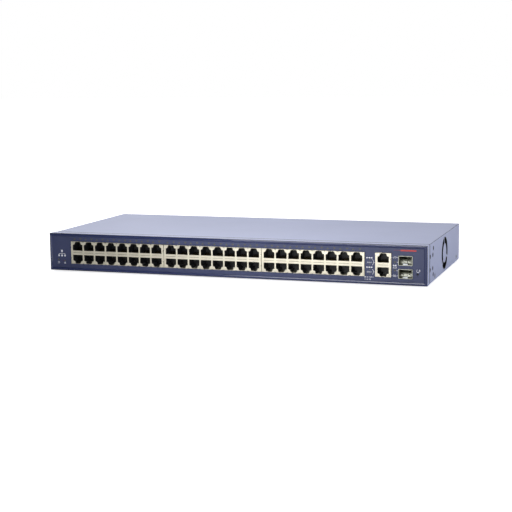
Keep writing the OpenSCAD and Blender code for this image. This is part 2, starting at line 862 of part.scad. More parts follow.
module output_capacitors() {
    color("darkgreen") in_casing() for (x = [-6, 8], y = [132, 146])
        translate([x, y, board_top]) cylinder(r = 5, h = 20);
}

module power_heat_sink() {
    color(zinc) in_casing() {
        span([25, 138, board_top], [28, 184, 34]);
        for (y = [138:11.25:184]) span([28 - cut, y, board_top + 4], [36, y + 1, 34]);
    }
}

module power_fuse() {
    color("silver") in_casing() {
        rod_y(121, board_top + 3, 127, 147, 2.6);
        rod_y(121, board_top + 3, 126, 131, 3);
        rod_y(121, board_top + 3, 143, 148, 3);
    }
}

// Outline of the inlet's socket, with two corners cut off
module inlet_mouth() {
    half_w = 12.1;
    half_h = 8.3;
    corner = 4.5;
    translate([inlet_x, inlet_z])
        polygon([[-half_w, -half_h], [half_w, -half_h], [half_w, half_h - corner], [half_w - corner, half_h],
                 [-half_w + corner, half_h], [-half_w, half_h - corner]]);
}

module inlet_blades() {
    for (spot = pin_spots) translate([inlet_x + spot[0], 0, inlet_z + spot[1]]) {
        span([-1, inlet_back, -2], [1, rear_out - 1, 2]);
        span([-0.4, inlet_back - 7, -3.1], [0.4, inlet_back, 3.1]);
    }
}

module power_inlet() {
    color(black) in_casing() difference() {
        union() {
            through(inlet_back, body_d) translate([inlet_x, inlet_z]) square(inlet_body, center = true);
            through(rear_out, rear_out + inlet_flange_t)
                translate([inlet_x, inlet_z]) square(inlet_flange, center = true);
        }
        through(inlet_floor, body_d + cut) inlet_mouth();
        inlet_blades();
        for (x = [-inlet_screw, inlet_screw]) translate([inlet_x + x, rear_out + inlet_flange_t, inlet_z])
            rotate([90, 0, 0])
                cylinder(r1 = inlet_sink_r, r2 = inlet_sink_r - inlet_flange_t, h = inlet_flange_t + 0.01);
    }
}

module inlet_pins() {
    color(gold) in_casing() inlet_blades();
}

// Countersunk screws of the inlet, with their nuts
module inlet_screws() {
    color(zinc) in_casing() for (x = [-inlet_screw, inlet_screw])
        translate([inlet_x + x, rear_out + inlet_flange_t, inlet_z]) rotate([90, 0, 0]) {
            head_r = inlet_sink_r - fit_gap;
            cylinder(r1 = head_r, r2 = head_r - inlet_flange_t, h = inlet_flange_t);
            cylinder(r = screw_r - fit_gap, h = 7);
            translate([0, 0, inlet_flange_t + sheet]) difference() {
                cylinder(r = 3.2, h = 2.4, $fn = 6);
                translate([0, 0, -cut]) cylinder(r = screw_r, h = 5);
            }
        }
}

// Earth screw in the tray, with the ring tag of the earth lead under its head
module earth_screw() {
    tag_t = 0.8;
    head_z = sheet + tag_t + fit_gap;
    color(zinc) in_casing() translate([earth_spot[0], earth_spot[1], 0]) {
        cylinder(r = screw_r, h = head_z + cut);
        translate([0, 0, head_z]) cylinder(r = screw_head_r, h = 1.6);
        difference() {
            union() {
                translate([0, 0, sheet]) cylinder(r = 4, h = tag_t);
                span([-1.2, -8, sheet], [1.2, -3, sheet + tag_t]);
                span([-1.2, -8, sheet], [1.2, -5, sheet + 2.4]);
            }
            translate([0, 0, -cut]) cylinder(r = screw_r + fit_gap, h = 10);
        }
    }
}

function unit(v) = v / norm(v);
function heading(route, i) =
    unit(route[min(i + 1, len(route) - 1)] - route[max(i - 1, 0)]);

// A lead swept along its route, with eight sides
module lead(route, r) {
    sides = 8;
    upright = unit([0.1, 0.2, 1]);
    rings = [for (i = [0:len(route) - 1])
        let (ahead = heading(route, i), aside = unit(cross(ahead, upright)), above = cross(aside, ahead))
        for (k = [0:sides - 1])
            route[i] + r * (cos(k * 360 / sides) * aside + sin(k * 360 / sides) * above)];
    last = (len(route) - 1) * sides;
    walls = [for (i = [0:len(route) - 2], k = [0:sides - 1])
        let (a = i * sides + k, b = i * sides + (k + 1) % sides)
        each [[a, a + sides, b], [b, a + sides, b + sides]]];
    polyhedron(rings, concat(walls, [[for (k = [0:sides - 1]) k], [for (k = [sides - 1:-1:0]) last + k]]));
}

module internal_leads() {
    color("firebrick") in_casing()
        for (route = concat(mains_routes, supply_routes, fan_routes)) lead(route, lead_r);
}

// Puts a fan part drawn along z, from the fan's inner face outwards, into the casing
module in_fan() {
    in_casing() translate([fan_in, fan_y, fan_z]) rotate([0, 90, 0]) children();
}

fan_base_r = 9.5;
fan_base_t = 2;
tube_r = 4;
tube_top = 11;
bearing_r = 2.45;
shaft_r = 1;
hub_r = 10.5;
hub_in_r = 9.3;
hub_span = [2.8, 18.5];
hub_top_t = 1.5;
boss_r = 2.5;
shaft_end = 16.5;
blade_tip_r = 18.2;
blade_span = [4, 17];

module fan_frame() {
    color(black) in_fan() difference() {
        union() {
            difference() {
                translate([-fan_size / 2, -fan_size / 2, 0]) cube([fan_size, fan_size, fan_t]);
                translate([0, 0, -cut]) cylinder(r = fan_bore, h = fan_t + 2 * cut);
                for (x = [-fan_hole, fan_hole], y = [-fan_hole, fan_hole])
                    translate([x, y, -cut]) cylinder(r = screw_r + fit_gap, h = fan_t + 2 * cut);
            }
            cylinder(r = fan_base_r, h = fan_base_t);
            for (angle = [0, 90, 180, 270]) rotate([0, 0, angle])
                span([fan_base_r - cut, -1.25, 0], [fan_bore + 0.3, 1.25, fan_base_t]);
            cylinder(r = tube_r, h = tube_top);
        }
        translate([0, 0, cut]) cylinder(r = bearing_r + fit_gap, h = tube_top);
    }
}

module fan_bearing() {
    color("goldenrod") in_fan() translate([0, 0, cut]) difference() {
        cylinder(r = bearing_r, h = tube_top - cut);
        translate([0, 0, -cut]) cylinder(r = shaft_r + fit_gap, h = tube_top + cut);
    }
}

module fan_stator() {
    outer = 8;
    color(copper) in_fan() translate([0, 0, 3]) difference() {
        cylinder(r = outer, h = 6.5);
        translate([0, 0, -cut]) cylinder(r = tube_r + fit_gap, h = 10);
        for (angle = [45, 135, 225, 315]) rotate([0, 0, angle]) span([5.5, -1, -cut], [outer + cut, 1, 10]);
    }
}

module fan_shaft() {
    color("silver") in_fan() translate([0, 0, 1.5]) cylinder(r = shaft_r, h = shaft_end - 1.5);
}

module fan_rotor() {
    color(black) in_fan() {
        difference() {
            union() {
                difference() {
                    translate([0, 0, hub_span[0]]) cylinder(r = hub_r, h = hub_span[1] - hub_span[0]);
                    translate([0, 0, hub_span[0] - cut])
                        cylinder(r = hub_in_r, h = hub_span[1] - hub_span[0] - hub_top_t + cut);
                }
                translate([0, 0, tube_top + 2]) cylinder(r = boss_r, h = hub_span[1] - tube_top - 2.5);
            }
            translate([0, 0, cut]) cylinder(r = shaft_r, h = shaft_end - cut);
        }
        for (k = [0:blade_count - 1]) rotate([0, 0, k * 360 / blade_count]) intersection() {
            translate([(hub_r + blade_tip_r) / 2, 0, (blade_span[0] + blade_span[1]) / 2])
                rotate([blade_pitch, 0, 0]) cube([10, 1.2, 24], center = true);
            translate([0, 0, blade_span[0]]) difference() {
                cylinder(r = blade_tip_r, h = blade_span[1] - blade_span[0]);
                translate([0, 0, -cut]) cylinder(r = hub_r - 0.3, h = 20);
            }
        }
    }
}

// Bracket that stands on the tray and holds the fan by its corners
module fan_bracket() {
    half = fan_size / 2;
    color(zinc) in_casing() difference() {
        union() {
            span([fan_in - sheet, fan_y - half, sheet], [fan_in, fan_y + half, sheet + fan_size]);
            span([fan_in - 16, fan_y - half, sheet], [fan_in, fan_y + half, 2 * sheet]);
        }
        rod_x(fan_in - 2 * sheet, fan_in + cut, fan_y, fan_z, fan_bore);
        for (y = [-fan_hole, fan_hole], z = [-fan_hole, fan_hole])
            rod_x(fan_in - 2 * sheet, fan_in + cut, fan_y + y, fan_z + z, board_hole_r);
    }
}

module fan_screws() {
    bite = 10;
    color(zinc) in_casing() for (y = [-fan_hole, fan_hole], z = [-fan_hole, fan_hole]) {
        rod_x(fan_in - sheet - 1.6, fan_in - sheet, fan_y + y, fan_z + z, screw_head_r);
        rod_x(fan_in - sheet - cut, fan_in + bite, fan_y + y, fan_z + z, screw_r);
    }
}

base_tray();
top_cover();
front_frame();
front_bezel();
front_label();
cover_screws();
rubber_feet();
jack_housing(0);  // jack_housing_1
jack_housing(1);  // jack_housing_2
jack_housing(2);  // jack_housing_3
jack_housing(3);  // jack_housing_4
jack_case(0);  // jack_shield_1
jack_case(1);  // jack_shield_2
jack_case(2);  // jack_shield_3
jack_case(3);  // jack_shield_4
jack_contacts();
upper_cage();
lower_cage();
cage_spacer();
cage_springs();
cage_connectors();
block_guide(0);  // light_guide_1
block_guide(1);  // light_guide_2
block_guide(2);  // light_guide_3
single_guide();  // light_guide_4
cage_guide();  // light_guide_5
status_guide();  // light_guide_6
board_lights();
reset_button();
reset_switch();
main_board();
board_standoffs();
board_screws();
port_transformers();
switch_chips();
heat_sinks();
clock_crystal();
board_capacitors();
lead_plugs();
power_board();
insulating_sheet();
power_transformer();
mains_capacitor();
line_choke();
output_capacitors();
power_heat_sink();
power_fuse();
power_inlet();
inlet_pins();
inlet_screws();
earth_screw();
internal_leads();
fan_frame();
fan_bearing();
fan_stator();
fan_shaft();
fan_rotor();
fan_bracket();
fan_screws();
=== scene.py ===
import json
import math

import bmesh
import bpy
from mathutils import Matrix, Vector


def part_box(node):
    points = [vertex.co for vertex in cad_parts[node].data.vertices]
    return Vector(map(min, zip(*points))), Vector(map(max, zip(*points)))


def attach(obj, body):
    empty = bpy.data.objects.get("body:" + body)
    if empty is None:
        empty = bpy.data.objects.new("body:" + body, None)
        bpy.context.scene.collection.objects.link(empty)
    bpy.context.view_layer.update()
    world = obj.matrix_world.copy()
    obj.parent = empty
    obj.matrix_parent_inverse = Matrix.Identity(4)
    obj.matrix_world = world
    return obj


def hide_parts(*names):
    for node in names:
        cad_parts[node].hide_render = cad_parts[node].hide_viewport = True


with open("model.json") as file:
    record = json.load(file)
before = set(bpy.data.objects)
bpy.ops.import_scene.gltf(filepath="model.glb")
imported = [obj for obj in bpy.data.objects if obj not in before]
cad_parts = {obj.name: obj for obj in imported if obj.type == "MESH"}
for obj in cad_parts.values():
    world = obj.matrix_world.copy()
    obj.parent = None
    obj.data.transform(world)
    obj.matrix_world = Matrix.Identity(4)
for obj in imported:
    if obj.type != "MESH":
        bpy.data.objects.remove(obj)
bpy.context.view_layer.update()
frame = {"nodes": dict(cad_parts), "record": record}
nodes = frame["nodes"]
mm = 0.001
scene = bpy.context.scene
scene.view_settings.view_transform = "Standard"

# Sizes below are millimetres in casing terms: x from the middle, d back from the bezel's rim,
# z up from the underside
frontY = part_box("front_bezel")[0].y
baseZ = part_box("base_tray")[0].z


def at(x, d, z):
    return Vector((x * mm, frontY + d * mm, baseZ + z * mm))


def spanOf(node):
    low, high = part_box(node)
    return [(v.x / mm, (v.y - frontY) / mm, (v.z - baseZ) / mm) for v in (low, high)]


# Camera at the photograph's viewing angle

cameraSetup = {
    "lens": 86.52,  # mm
    "sensor": 36,  # mm
    "place": (0.45813, -1.35792, 0.22532),  # m, in the frame
    "azimuth": 18.7531,  # degrees to the right of straight on
    "pitch": 8.4809,  # degrees downwards
    "roll": -0.62706,
}


def makeCamera():
    cameraData = bpy.data.cameras.new("photoCamera")
    cameraData.lens = cameraSetup["lens"]
    cameraData.sensor_width = cameraSetup["sensor"]
    camera = bpy.data.objects.new("photoCamera", cameraData)
    turn = Matrix.Rotation(math.radians(cameraSetup["azimuth"]), 4, "Z")
    tilt = Matrix.Rotation(math.radians(90 - cameraSetup["pitch"]), 4, "X")
    roll = Matrix.Rotation(math.radians(cameraSetup["roll"]), 4, "Z")
    camera.matrix_world = Matrix.Translation(cameraSetup["place"]) @ turn @ tilt @ roll
    scene.collection.objects.link(camera)
    scene.camera = camera


makeCamera()
print("camera: %.1f mm lens" % cameraSetup["lens"])


# Materials

def linear(hexColour):
    channels = [int(hexColour[i:i + 2], 16) / 255 for i in (1, 3, 5)]
    return [c / 12.92 if c <= 0.04045 else ((c + 0.055) / 1.055) ** 2.4 for c in channels] + [1.0]


def perMetre(sizeMm):
    return 1000 / sizeMm  # texture scale whose features are that many millimetres apart


def addNode(tree, kind, settings=None, links=None):
    node = tree.nodes.new(kind)
    for key, value in (settings or {}).items():
        if isinstance(key, int) or key in node.inputs:
            node.inputs[key].default_value = value
        else:
            setattr(node, key, value)
    for key, source in (links or {}).items():
        tree.links.new(source, node.inputs[key])
    return node


def startMaterial(name, sockets):
    material = bpy.data.materials.new(name)
    material.use_nodes = True
    tree = material.node_tree
    shader = tree.nodes["Principled BSDF"]
    for socket, value in sockets.items():
        shader.inputs[socket].default_value = value
    place = addNode(tree, "ShaderNodeTexCoord").outputs["Object"]
    return material, tree, shader, place


def giveFinish(tree, shader, look, tone, gloss):
    # one pattern mixes the colour, the other varies the roughness and raises the relief, where there is one;
    # a relief is a depth in millimetres and a strength
    colour = addNode(tree, "ShaderNodeMix",
                     {"data_type": "RGBA", 6: linear(look["dark"]), 7: linear(look["light"])}, {0: tone})
    tree.links.new(colour.outputs[2], shader.inputs["Base Color"])
    low, high = look["rough"]
    rough = addNode(tree, "ShaderNodeMapRange", {"To Min": low, "To Max": high}, {"Value": gloss})
    tree.links.new(rough.outputs[0], shader.inputs["Roughness"])
    if "relief" in look:
        depthMm, strength = look["relief"]
        bump = addNode(tree, "ShaderNodeBump", {"Strength": strength, "Distance": depthMm * mm},
                       {"Height": gloss})
        tree.links.new(bump.outputs["Normal"], shader.inputs["Normal"])


def powderCoatedSteel():
    # baked powder on folded steel: an even satin skin whose soft orange peel breaks up the highlights
    look = {"dark": "#a2aacd", "light": "#abb3d7", "rough": (0.42, 0.54), "relief": (0.05, 0.15),
            "cloud": 60,
            "peel": 2.2}  # drawn coarse enough to show
    material, tree, shader, place = startMaterial("powderCoatedSteel", {"IOR": 1.5})
    cloud = addNode(tree, "ShaderNodeTexNoise", {"Scale": perMetre(look["cloud"]), "Detail": 3.0},
                    {"Vector": place})
    peel = addNode(tree, "ShaderNodeTexNoise", {"Scale": perMetre(look["peel"]), "Detail": 2.0},
                   {"Vector": place})
    giveFinish(tree, shader, look, cloud.outputs["Fac"], peel.outputs["Fac"])
    return material


def mouldedAbs():
    # dark blue ABS from a spark-eroded mould: a fine grain under a sheen that still mirrors soft lights
    look = {"dark": "#2c345a", "light": "#333b62", "rough": (0.12, 0.2), "relief": (0.02, 0.12),
            "flow": 45,
            "spark": 0.9}  # drawn coarse enough to show
    material, tree, shader, place = startMaterial("mouldedAbs", {"IOR": 1.53})
    flow = addNode(tree, "ShaderNodeTexNoise", {"Scale": perMetre(look["flow"]), "Detail": 2.0},
                   {"Vector": place})
    spark = addNode(tree, "ShaderNodeTexNoise", {"Scale": perMetre(look["spark"]), "Detail": 3.0},
                    {"Vector": place})
    giveFinish(tree, shader, look, flow.outputs["Fac"], spark.outputs["Fac"])
    return material


def polycarbonateFilm():
    # polycarbonate film printed on its back: colour under a velvet face, a little deeper than paint
    look = {"dark": "#2b335a", "light": "#313a62", "rough": (0.45, 0.58), "relief": (0.015, 0.12),
            "print": 30,
            "velvet": 0.8}  # drawn coarse enough to show
    material, tree, shader, place = startMaterial("polycarbonateFilm", {"IOR": 1.58})
    ink = addNode(tree, "ShaderNodeTexNoise", {"Scale": perMetre(look["print"]), "Detail": 4.0},
                  {"Vector": place})
    velvet = addNode(tree, "ShaderNodeTexNoise", {"Scale": perMetre(look["velvet"]), "Detail": 2.0},
                     {"Vector": place})
    giveFinish(tree, shader, look, ink.outputs["Fac"], velvet.outputs["Fac"])
    return material


def tinPlatedBrass():
    # brass strip with matt tin, rolled and stamped: a warm pale metal with faint rolling lines along it
    look = {"dark": "#cdc7b4", "light": "#dbd6c6", "rough": (0.26, 0.38), "relief": (0.01, 0.15),
            "cloud": 9,
            "roll": 0.7,  # drawn coarse enough to show
            "stretch": (0.06, 1.0, 1.0)}
    material, tree, shader, place = startMaterial("tinPlatedBrass", {"Metallic": 1.0})
    long = addNode(tree, "ShaderNodeMapping", {"Scale": look["stretch"]}, {"Vector": place})
    roll = addNode(tree, "ShaderNodeTexNoise", {"Scale": perMetre(look["roll"]), "Detail": 2.0},
                   {"Vector": long.outputs["Vector"]})
    cloud = addNode(tree, "ShaderNodeTexNoise", {"Scale": perMetre(look["cloud"]), "Detail": 3.0},
                    {"Vector": place})
    giveFinish(tree, shader, look, cloud.outputs["Fac"], roll.outputs["Fac"])
    return material


def nickelSilver():
    # nickel-silver sheet, folded and bright: grey with a trace of green, and fine draw lines front to back
    look = {"dark": "#a5a79b", "light": "#cccec2", "rough": (0.3, 0.48), "relief": (0.01, 0.2),
            "cloud": 5,
            "draw": 0.6,  # drawn coarse enough to show
            "stretch": (1.0, 0.05, 1.0)}
    material, tree, shader, place = startMaterial("nickelSilver", {"Metallic": 1.0})
    long = addNode(tree, "ShaderNodeMapping", {"Scale": look["stretch"]}, {"Vector": place})
    draw = addNode(tree, "ShaderNodeTexNoise", {"Scale": perMetre(look["draw"]), "Detail": 2.0},
                   {"Vector": long.outputs["Vector"]})
    cloud = addNode(tree, "ShaderNodeTexNoise", {"Scale": perMetre(look["cloud"]), "Detail": 3.0},
                    {"Vector": place})
    giveFinish(tree, shader, look, cloud.outputs["Fac"], draw.outputs["Fac"])
    return material


def zincPlatedSteel():
    # steel with clear passivated zinc: cool grey with a faint patchwork of crystals
    look = {"dark": "#a9adb2", "light": "#cdd0d3", "rough": (0.28, 0.45), "crystal": 1.6}
    material, tree, shader, place = startMaterial("zincPlatedSteel", {"Metallic": 1.0})
    crystal = addNode(tree, "ShaderNodeTexVoronoi", {"Scale": perMetre(look["crystal"])}, {"Vector": place})
    grey = addNode(tree, "ShaderNodeRGBToBW", None, {"Color": crystal.outputs["Color"]})
    giveFinish(tree, shader, look, grey.outputs[0], grey.outputs[0])
    return material


def blackZinc():
    # steel with black passivated zinc: a blue-grey metal, duller and darker than the paint round it
    look = {"dark": "#676b78", "light": "#7e828f", "rough": (0.35, 0.5), "patch": 1.2}
    material, tree, shader, place = startMaterial("blackZinc", {"Metallic": 1.0})
    patch = addNode(tree, "ShaderNodeTexNoise", {"Scale": perMetre(look["patch"]), "Detail": 3.0},
                    {"Vector": place})
    giveFinish(tree, shader, look, patch.outputs["Fac"], patch.outputs["Fac"])
    return material


def glassFilledNylon():
    # black glass-filled nylon: glass fibres near the skin leave a dull, slightly streaked black; the same
    # black also paints the shade of the vent's cut edges and of the holes in the cages' ejector springs
    look = {"dark": "#101113", "light": "#1b1c1f", "rough": (0.4, 0.6), "relief": (0.02, 0.15), "fibre": 1.2}
    material, tree, shader, place = startMaterial("glassFilledNylon", {"IOR": 1.53})
    fibre = addNode(tree, "ShaderNodeTexNoise", {"Scale": perMetre(look["fibre"]), "Detail": 5.0},
                    {"Vector": place})
    giveFinish(tree, shader, look, fibre.outputs["Fac"], fibre.outputs["Fac"])
    return material


def goldPlating():
    # thin gold over nickel on phosphor bronze: a subdued yellow with slightly duller patches
    look = {"dark": "#8f7648", "light": "#b39a66", "rough": (0.18, 0.32), "patch": 0.8}
    material, tree, shader, place = startMaterial("goldPlating", {"Metallic": 1.0})
    patch = addNode(tree, "ShaderNodeTexNoise", {"Scale": perMetre(look["patch"]), "Detail": 2.0},
                    {"Vector": place})
    giveFinish(tree, shader, look, patch.outputs["Fac"], patch.outputs["Fac"])
    return material


def frostedAcrylic():
    # unlit acrylic light guide with a frosted tip: its olive grey is painted shade of the casing's dim inside
    # seen through it
    look = {"dark": "#42443e", "light": "#56584e", "rough": (0.3, 0.5),
            "frost": 0.5,  # drawn coarse enough to show
            "spread": 0.5}  # how far light travels under the frost
    material, tree, shader, place = startMaterial("frostedAcrylic", {
        "IOR": 1.49, "Subsurface Weight": 0.2, "Subsurface Scale": look["spread"] * mm})
    frost = addNode(tree, "ShaderNodeTexNoise", {"Scale": perMetre(look["frost"]), "Detail": 3.0},
                    {"Vector": place})
    giveFinish(tree, shader, look, frost.outputs["Fac"], frost.outputs["Fac"])
    return material


def screenInk(name, dark, light):
    # screen-printed ink: a thin matt layer whose coverage varies with the mesh of the screen
    look = {"dark": dark, "light": light, "rough": (0.5, 0.7),
            "mesh": 0.5}  # drawn coarse enough to show
    material, tree, shader, place = startMaterial(name, {"IOR": 1.5})
    mesh = addNode(tree, "ShaderNodeTexNoise", {"Scale": perMetre(look["mesh"]), "Detail": 2.0},
                   {"Vector": place})
    giveFinish(tree, shader, look, mesh.outputs["Fac"], mesh.outputs["Fac"])
    return material


def solderMask():
    # glass-epoxy board under green solder mask: copper tracks show as paler lines
    look = {"dark": "#0d3b22", "light": "#1b5a36", "rough": (0.25, 0.35), "track": 2.5}
    material, tree, shader, place = startMaterial("solderMask", {"IOR": 1.55})
    track = addNode(tree, "ShaderNodeTexBrick", {"Scale": perMetre(look["track"]), "Color1": (0, 0, 0, 1),
                                                 "Color2": (0.3, 0.3, 0.3, 1), "Mortar": (1, 1, 1, 1),
                                                 "Mortar Size": 0.06}, {"Vector": place})
    grey = addNode(tree, "ShaderNodeRGBToBW", None, {"Color": track.outputs["Color"]})
    giveFinish(tree, shader, look, grey.outputs[0], grey.outputs[0])
    return material


def mottled(name, sockets, dark, light, size, rough):
    # a plain moulded, cast or sleeved surface: changes of tone and gloss at the size given in millimetres
    look = {"dark": dark, "light": light, "rough": rough, "relief": (0.03, 0.1)}
    material, tree, shader, place = startMaterial(name, sockets)
    blotch = addNode(tree, "ShaderNodeTexNoise", {"Scale": perMetre(size), "Detail": 4.0},
                     {"Vector": place})
    giveFinish(tree, shader, look, blotch.outputs["Fac"], blotch.outputs["Fac"])
    return material


finishes = {
    "casing_paint": powderCoatedSteel(),
    "bezel_plastic": mouldedAbs(),
    "label_film": polycarbonateFilm(),
    "tin_plate": tinPlatedBrass(),
    "nickelSilver": nickelSilver(),
    "zinc_plate": zincPlatedSteel(),
    "blackZinc": blackZinc(),
    # blackened steel of the ear bushes: near black, with a low sheen; the near black is partly the metal's
    # own and partly painted shade of the holes
    "blackOxideHoleShade": mottled("blackOxideHoleShade", {"Specular IOR Level": 0.2}, "#131418", "#1f2126",
                          size=0.8, rough=(0.4, 0.55)),
    # near-black strip in the groove behind the front frame, painted shade of the groove: a flat black that
    # gives almost no light back
    "grooveShadeBlack": mottled("grooveShadeBlack", {"Specular IOR Level": 0.1}, "#0e0e11", "#18181c",
                          size=1.5, rough=(0.8, 0.95)),
    "black_plastic": glassFilledNylon(),
    "gold_plate": goldPlating(),
    "light_guide_acrylic": frostedAcrylic(),
    "whiteInk": screenInk("whiteInk", "#d9dbe6", "#eef0f6"),
    "redInk": screenInk("redInk", "#b8383a", "#cc4a49"),
    "darkRedInk": screenInk("darkRedInk", "#7c3648", "#8a3e4e"),
    "board_laminate": solderMask(),
    # resin-bonded paper of the power board: a dull brown with darker fibres
    "power_laminate": mottled("phenolicPaper", {"IOR": 1.5}, "#7d6531", "#93793f", size=6, rough=(0.4, 0.6)),
    # varnished winding wire: a brownish shine
    "copper_wire": mottled("enamelledCopper", {"Metallic": 1.0}, "#8f5326", "#b8703a",
                           size=1, rough=(0.25, 0.4)),
    # sawn and extruded fins: a plain pale grey
    "heat_sink_aluminium": mottled("extrudedAluminium", {"Metallic": 1.0}, "#b5b7b9", "#cccecf",
                                   size=2, rough=(0.3, 0.5)),
    # printed sleeve shrunk on a can: a tight dark blue gloss
    "capacitor_sleeve": mottled("shrunkPvcSleeve", {"IOR": 1.54}, "#181d3a", "#232a4e",
                                size=8, rough=(0.2, 0.35)),
    # undyed moulded plugs: a warm off-white
    "ivory_nylon": mottled("ivoryNylon", {"IOR": 1.53}, "#d2c8aa", "#e2dabf", size=3, rough=(0.4, 0.55)),
    # drawn film under the power board: a milky white with a soft gloss
    "insulating_film": mottled("polyesterFilm", {"IOR": 1.64}, "#d8d8d2", "#e6e6e1",
                               size=20, rough=(0.25, 0.4)),
    # extruded insulation of the leads: a dark red with a waxy gloss
    "lead_pvc": mottled("extrudedPvc", {"IOR": 1.54}, "#7d1a16", "#93231d", size=4, rough=(0.3, 0.45)),
    # drawn tube: clear and sharp, a little grey
    "fuse_glass": mottled("fuseGlass", {"IOR": 1.5, "Transmission Weight": 0.6}, "#c9d2d2", "#e2e8e8",
                          size=3, rough=(0.05, 0.15)),
    # cast lamp bodies: a pale gloss
    "lamp_resin": mottled("clearEpoxy", {"IOR": 1.55}, "#d6d6cc", "#eaeae2", size=1, rough=(0.1, 0.25)),
    # moulded feet: a dusty black without highlights; the same black paints the shade lines along the lid's
    # folds
    "foot_rubber": mottled("neopreneRubber", {"IOR": 1.52}, "#171717", "#222222", size=1.5, rough=(0.7, 0.9)),
}
for part in frame["record"]["subparts"]:
    nodes[part["node"]].data.materials.clear()
    nodes[part["node"]].data.materials.append(finishes[part["material_slot"]])
print("materials: %d finishes" % len(finishes))


# Mesh tools

sharpAngle = 35  # degrees; edges that bend more than this stay sharp


def arc(x, z, r, start, end, steps=6):
    angles = [math.radians(start + (end - start) * k / steps) for k in range(steps + 1)]
    return [(x + r * math.cos(a), z + r * math.sin(a)) for a in angles]


def roundedBox(lowX, lowZ, highX, highZ, r, steps=4):
    return (arc(lowX + r, lowZ + r, r, 180, 270, steps) + arc(highX - r, lowZ + r, r, 270, 360, steps)
            + arc(highX - r, highZ - r, r, 0, 90, steps) + arc(lowX + r, highZ - r, r, 90, 180, steps))


def plate(outlines, front, back, edge=0.0, steps=1):
    # a sheet cut to outlines in x and z, the later ones holes, with its edges rounded
    curve = bpy.data.curves.new("plate", "CURVE")
    curve.dimensions = "2D"
    curve.fill_mode = "BOTH"
    curve.extrude = ((back - front) / 2 - edge) * mm
    curve.bevel_depth = edge * mm
    curve.bevel_resolution = steps
    curve.offset = -edge * mm
    for points in outlines:
        spline = curve.splines.new("POLY")
        spline.points.add(len(points) - 1)
        for point, (x, z) in zip(spline.points, points):
            point.co = (x * mm, z * mm, 0, 1)
        spline.use_cyclic_u = True
    source = bpy.data.objects.new("plate", curve)
    scene.collection.objects.link(source)
    graph = bpy.context.evaluated_depsgraph_get()
    mesh = bpy.data.meshes.new_from_object(source.evaluated_get(graph))
    bpy.data.objects.remove(source)
    stand = Matrix.Rotation(math.radians(90), 4, "X")
    mesh.transform(Matrix.Translation(at(0, (front + back) / 2, 0)) @ stand)
    return mesh


def prism(points, low, high, place):
    # a closed outline in u and v, carried from low to high along w; place turns u, v and w into a point
    bm = bmesh.new()
    rings = [[bm.verts.new(place(u, v, w)) for u, v in points] for w in (low, high)]
    count = len(points)
    for k in range(count):
        bm.faces.new([rings[0][k], rings[0][(k + 1) % count], rings[1][(k + 1) % count], rings[1][k]])
    bm.faces.new(rings[0][::-1])
    bm.faces.new(rings[1])
    bmesh.ops.recalc_face_normals(bm, faces=bm.faces)
    mesh = bpy.data.meshes.new("prism")
    bm.to_mesh(mesh)
    bm.free()
    return mesh


def lathe(profile, place, steps=32, capped=True):
    # a profile of radius and height turned round an axis; place turns u, v and height into a point
    bm = bmesh.new()
    rings = []
    for r, h in profile:
        angles = [2 * math.pi * k / steps for k in range(steps)]
        rings.append([bm.verts.new(place(r * math.cos(a), r * math.sin(a), h)) for a in angles])
    for low, high in zip(rings, rings[1:]):
        for k in range(steps):
            bm.faces.new([low[k], low[(k + 1) % steps], high[(k + 1) % steps], high[k]])
    if capped:
        bm.faces.new(rings[0][::-1])
        bm.faces.new(rings[-1])
    bmesh.ops.recalc_face_normals(bm, faces=bm.faces)
    mesh = bpy.data.meshes.new("lathe")
    bm.to_mesh(mesh)
    bm.free()
    return mesh


def ribbon(path, thickness):
    # closed outline of a bent strip: a path and its copy moved sideways by the strip's thickness
    inner = []
    for k, (u, v) in enumerate(path):
        u0, v0 = path[max(k - 1, 0)]
        u1, v1 = path[min(k + 1, len(path) - 1)]
        length = math.hypot(u1 - u0, v1 - v0)
        inner.append((u - thickness * (v1 - v0) / length, v + thickness * (u1 - u0) / length))
    return list(path) + inner[::-1]


def assemble(name, parts, stands=(), body="casing", flat=True):
    # joins meshes into one piece that rides on a body; each part is a mesh and the name of its finish
    piece = bpy.data.objects.new(name, bpy.data.meshes.new(name))
    bm = bmesh.new()
    used = []
    for mesh, finish in parts:
        if finish not in used:
            used.append(finish)
        first = len(bm.faces)
        bm.from_mesh(mesh)
        bm.faces.ensure_lookup_table()
        for face in bm.faces[first:]:
            face.material_index = used.index(finish)
            face.smooth = True
        bpy.data.meshes.remove(mesh)
    bm.to_mesh(piece.data)
    bm.free()
    for finish in used:
        piece.data.materials.append(finishes[finish])
    piece.data.set_sharp_from_angle(angle=math.radians(sharpAngle))
    scene.collection.objects.link(piece)
    if flat:  # flat faces stay flat beside their rounded edges
        weighted = piece.modifiers.new("weighted", "WEIGHTED_NORMAL")
        weighted.keep_sharp = True
        plain = piece.data
        graph = bpy.context.evaluated_depsgraph_get()
        piece.data = bpy.data.meshes.new_from_object(piece.evaluated_get(graph))
        piece.modifiers.clear()
        bpy.data.meshes.remove(plain)
        piece.data.name = name
    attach(piece, body)
    if stands:
        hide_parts(*stands)
    return piece


softening = {
    "weld": 0.002,  # points nearer than this are one
    "level": 0.5,  # degrees between faces that are one
    "sharp": 25,  # degrees that make an edge to round
    "segments": 2,
}


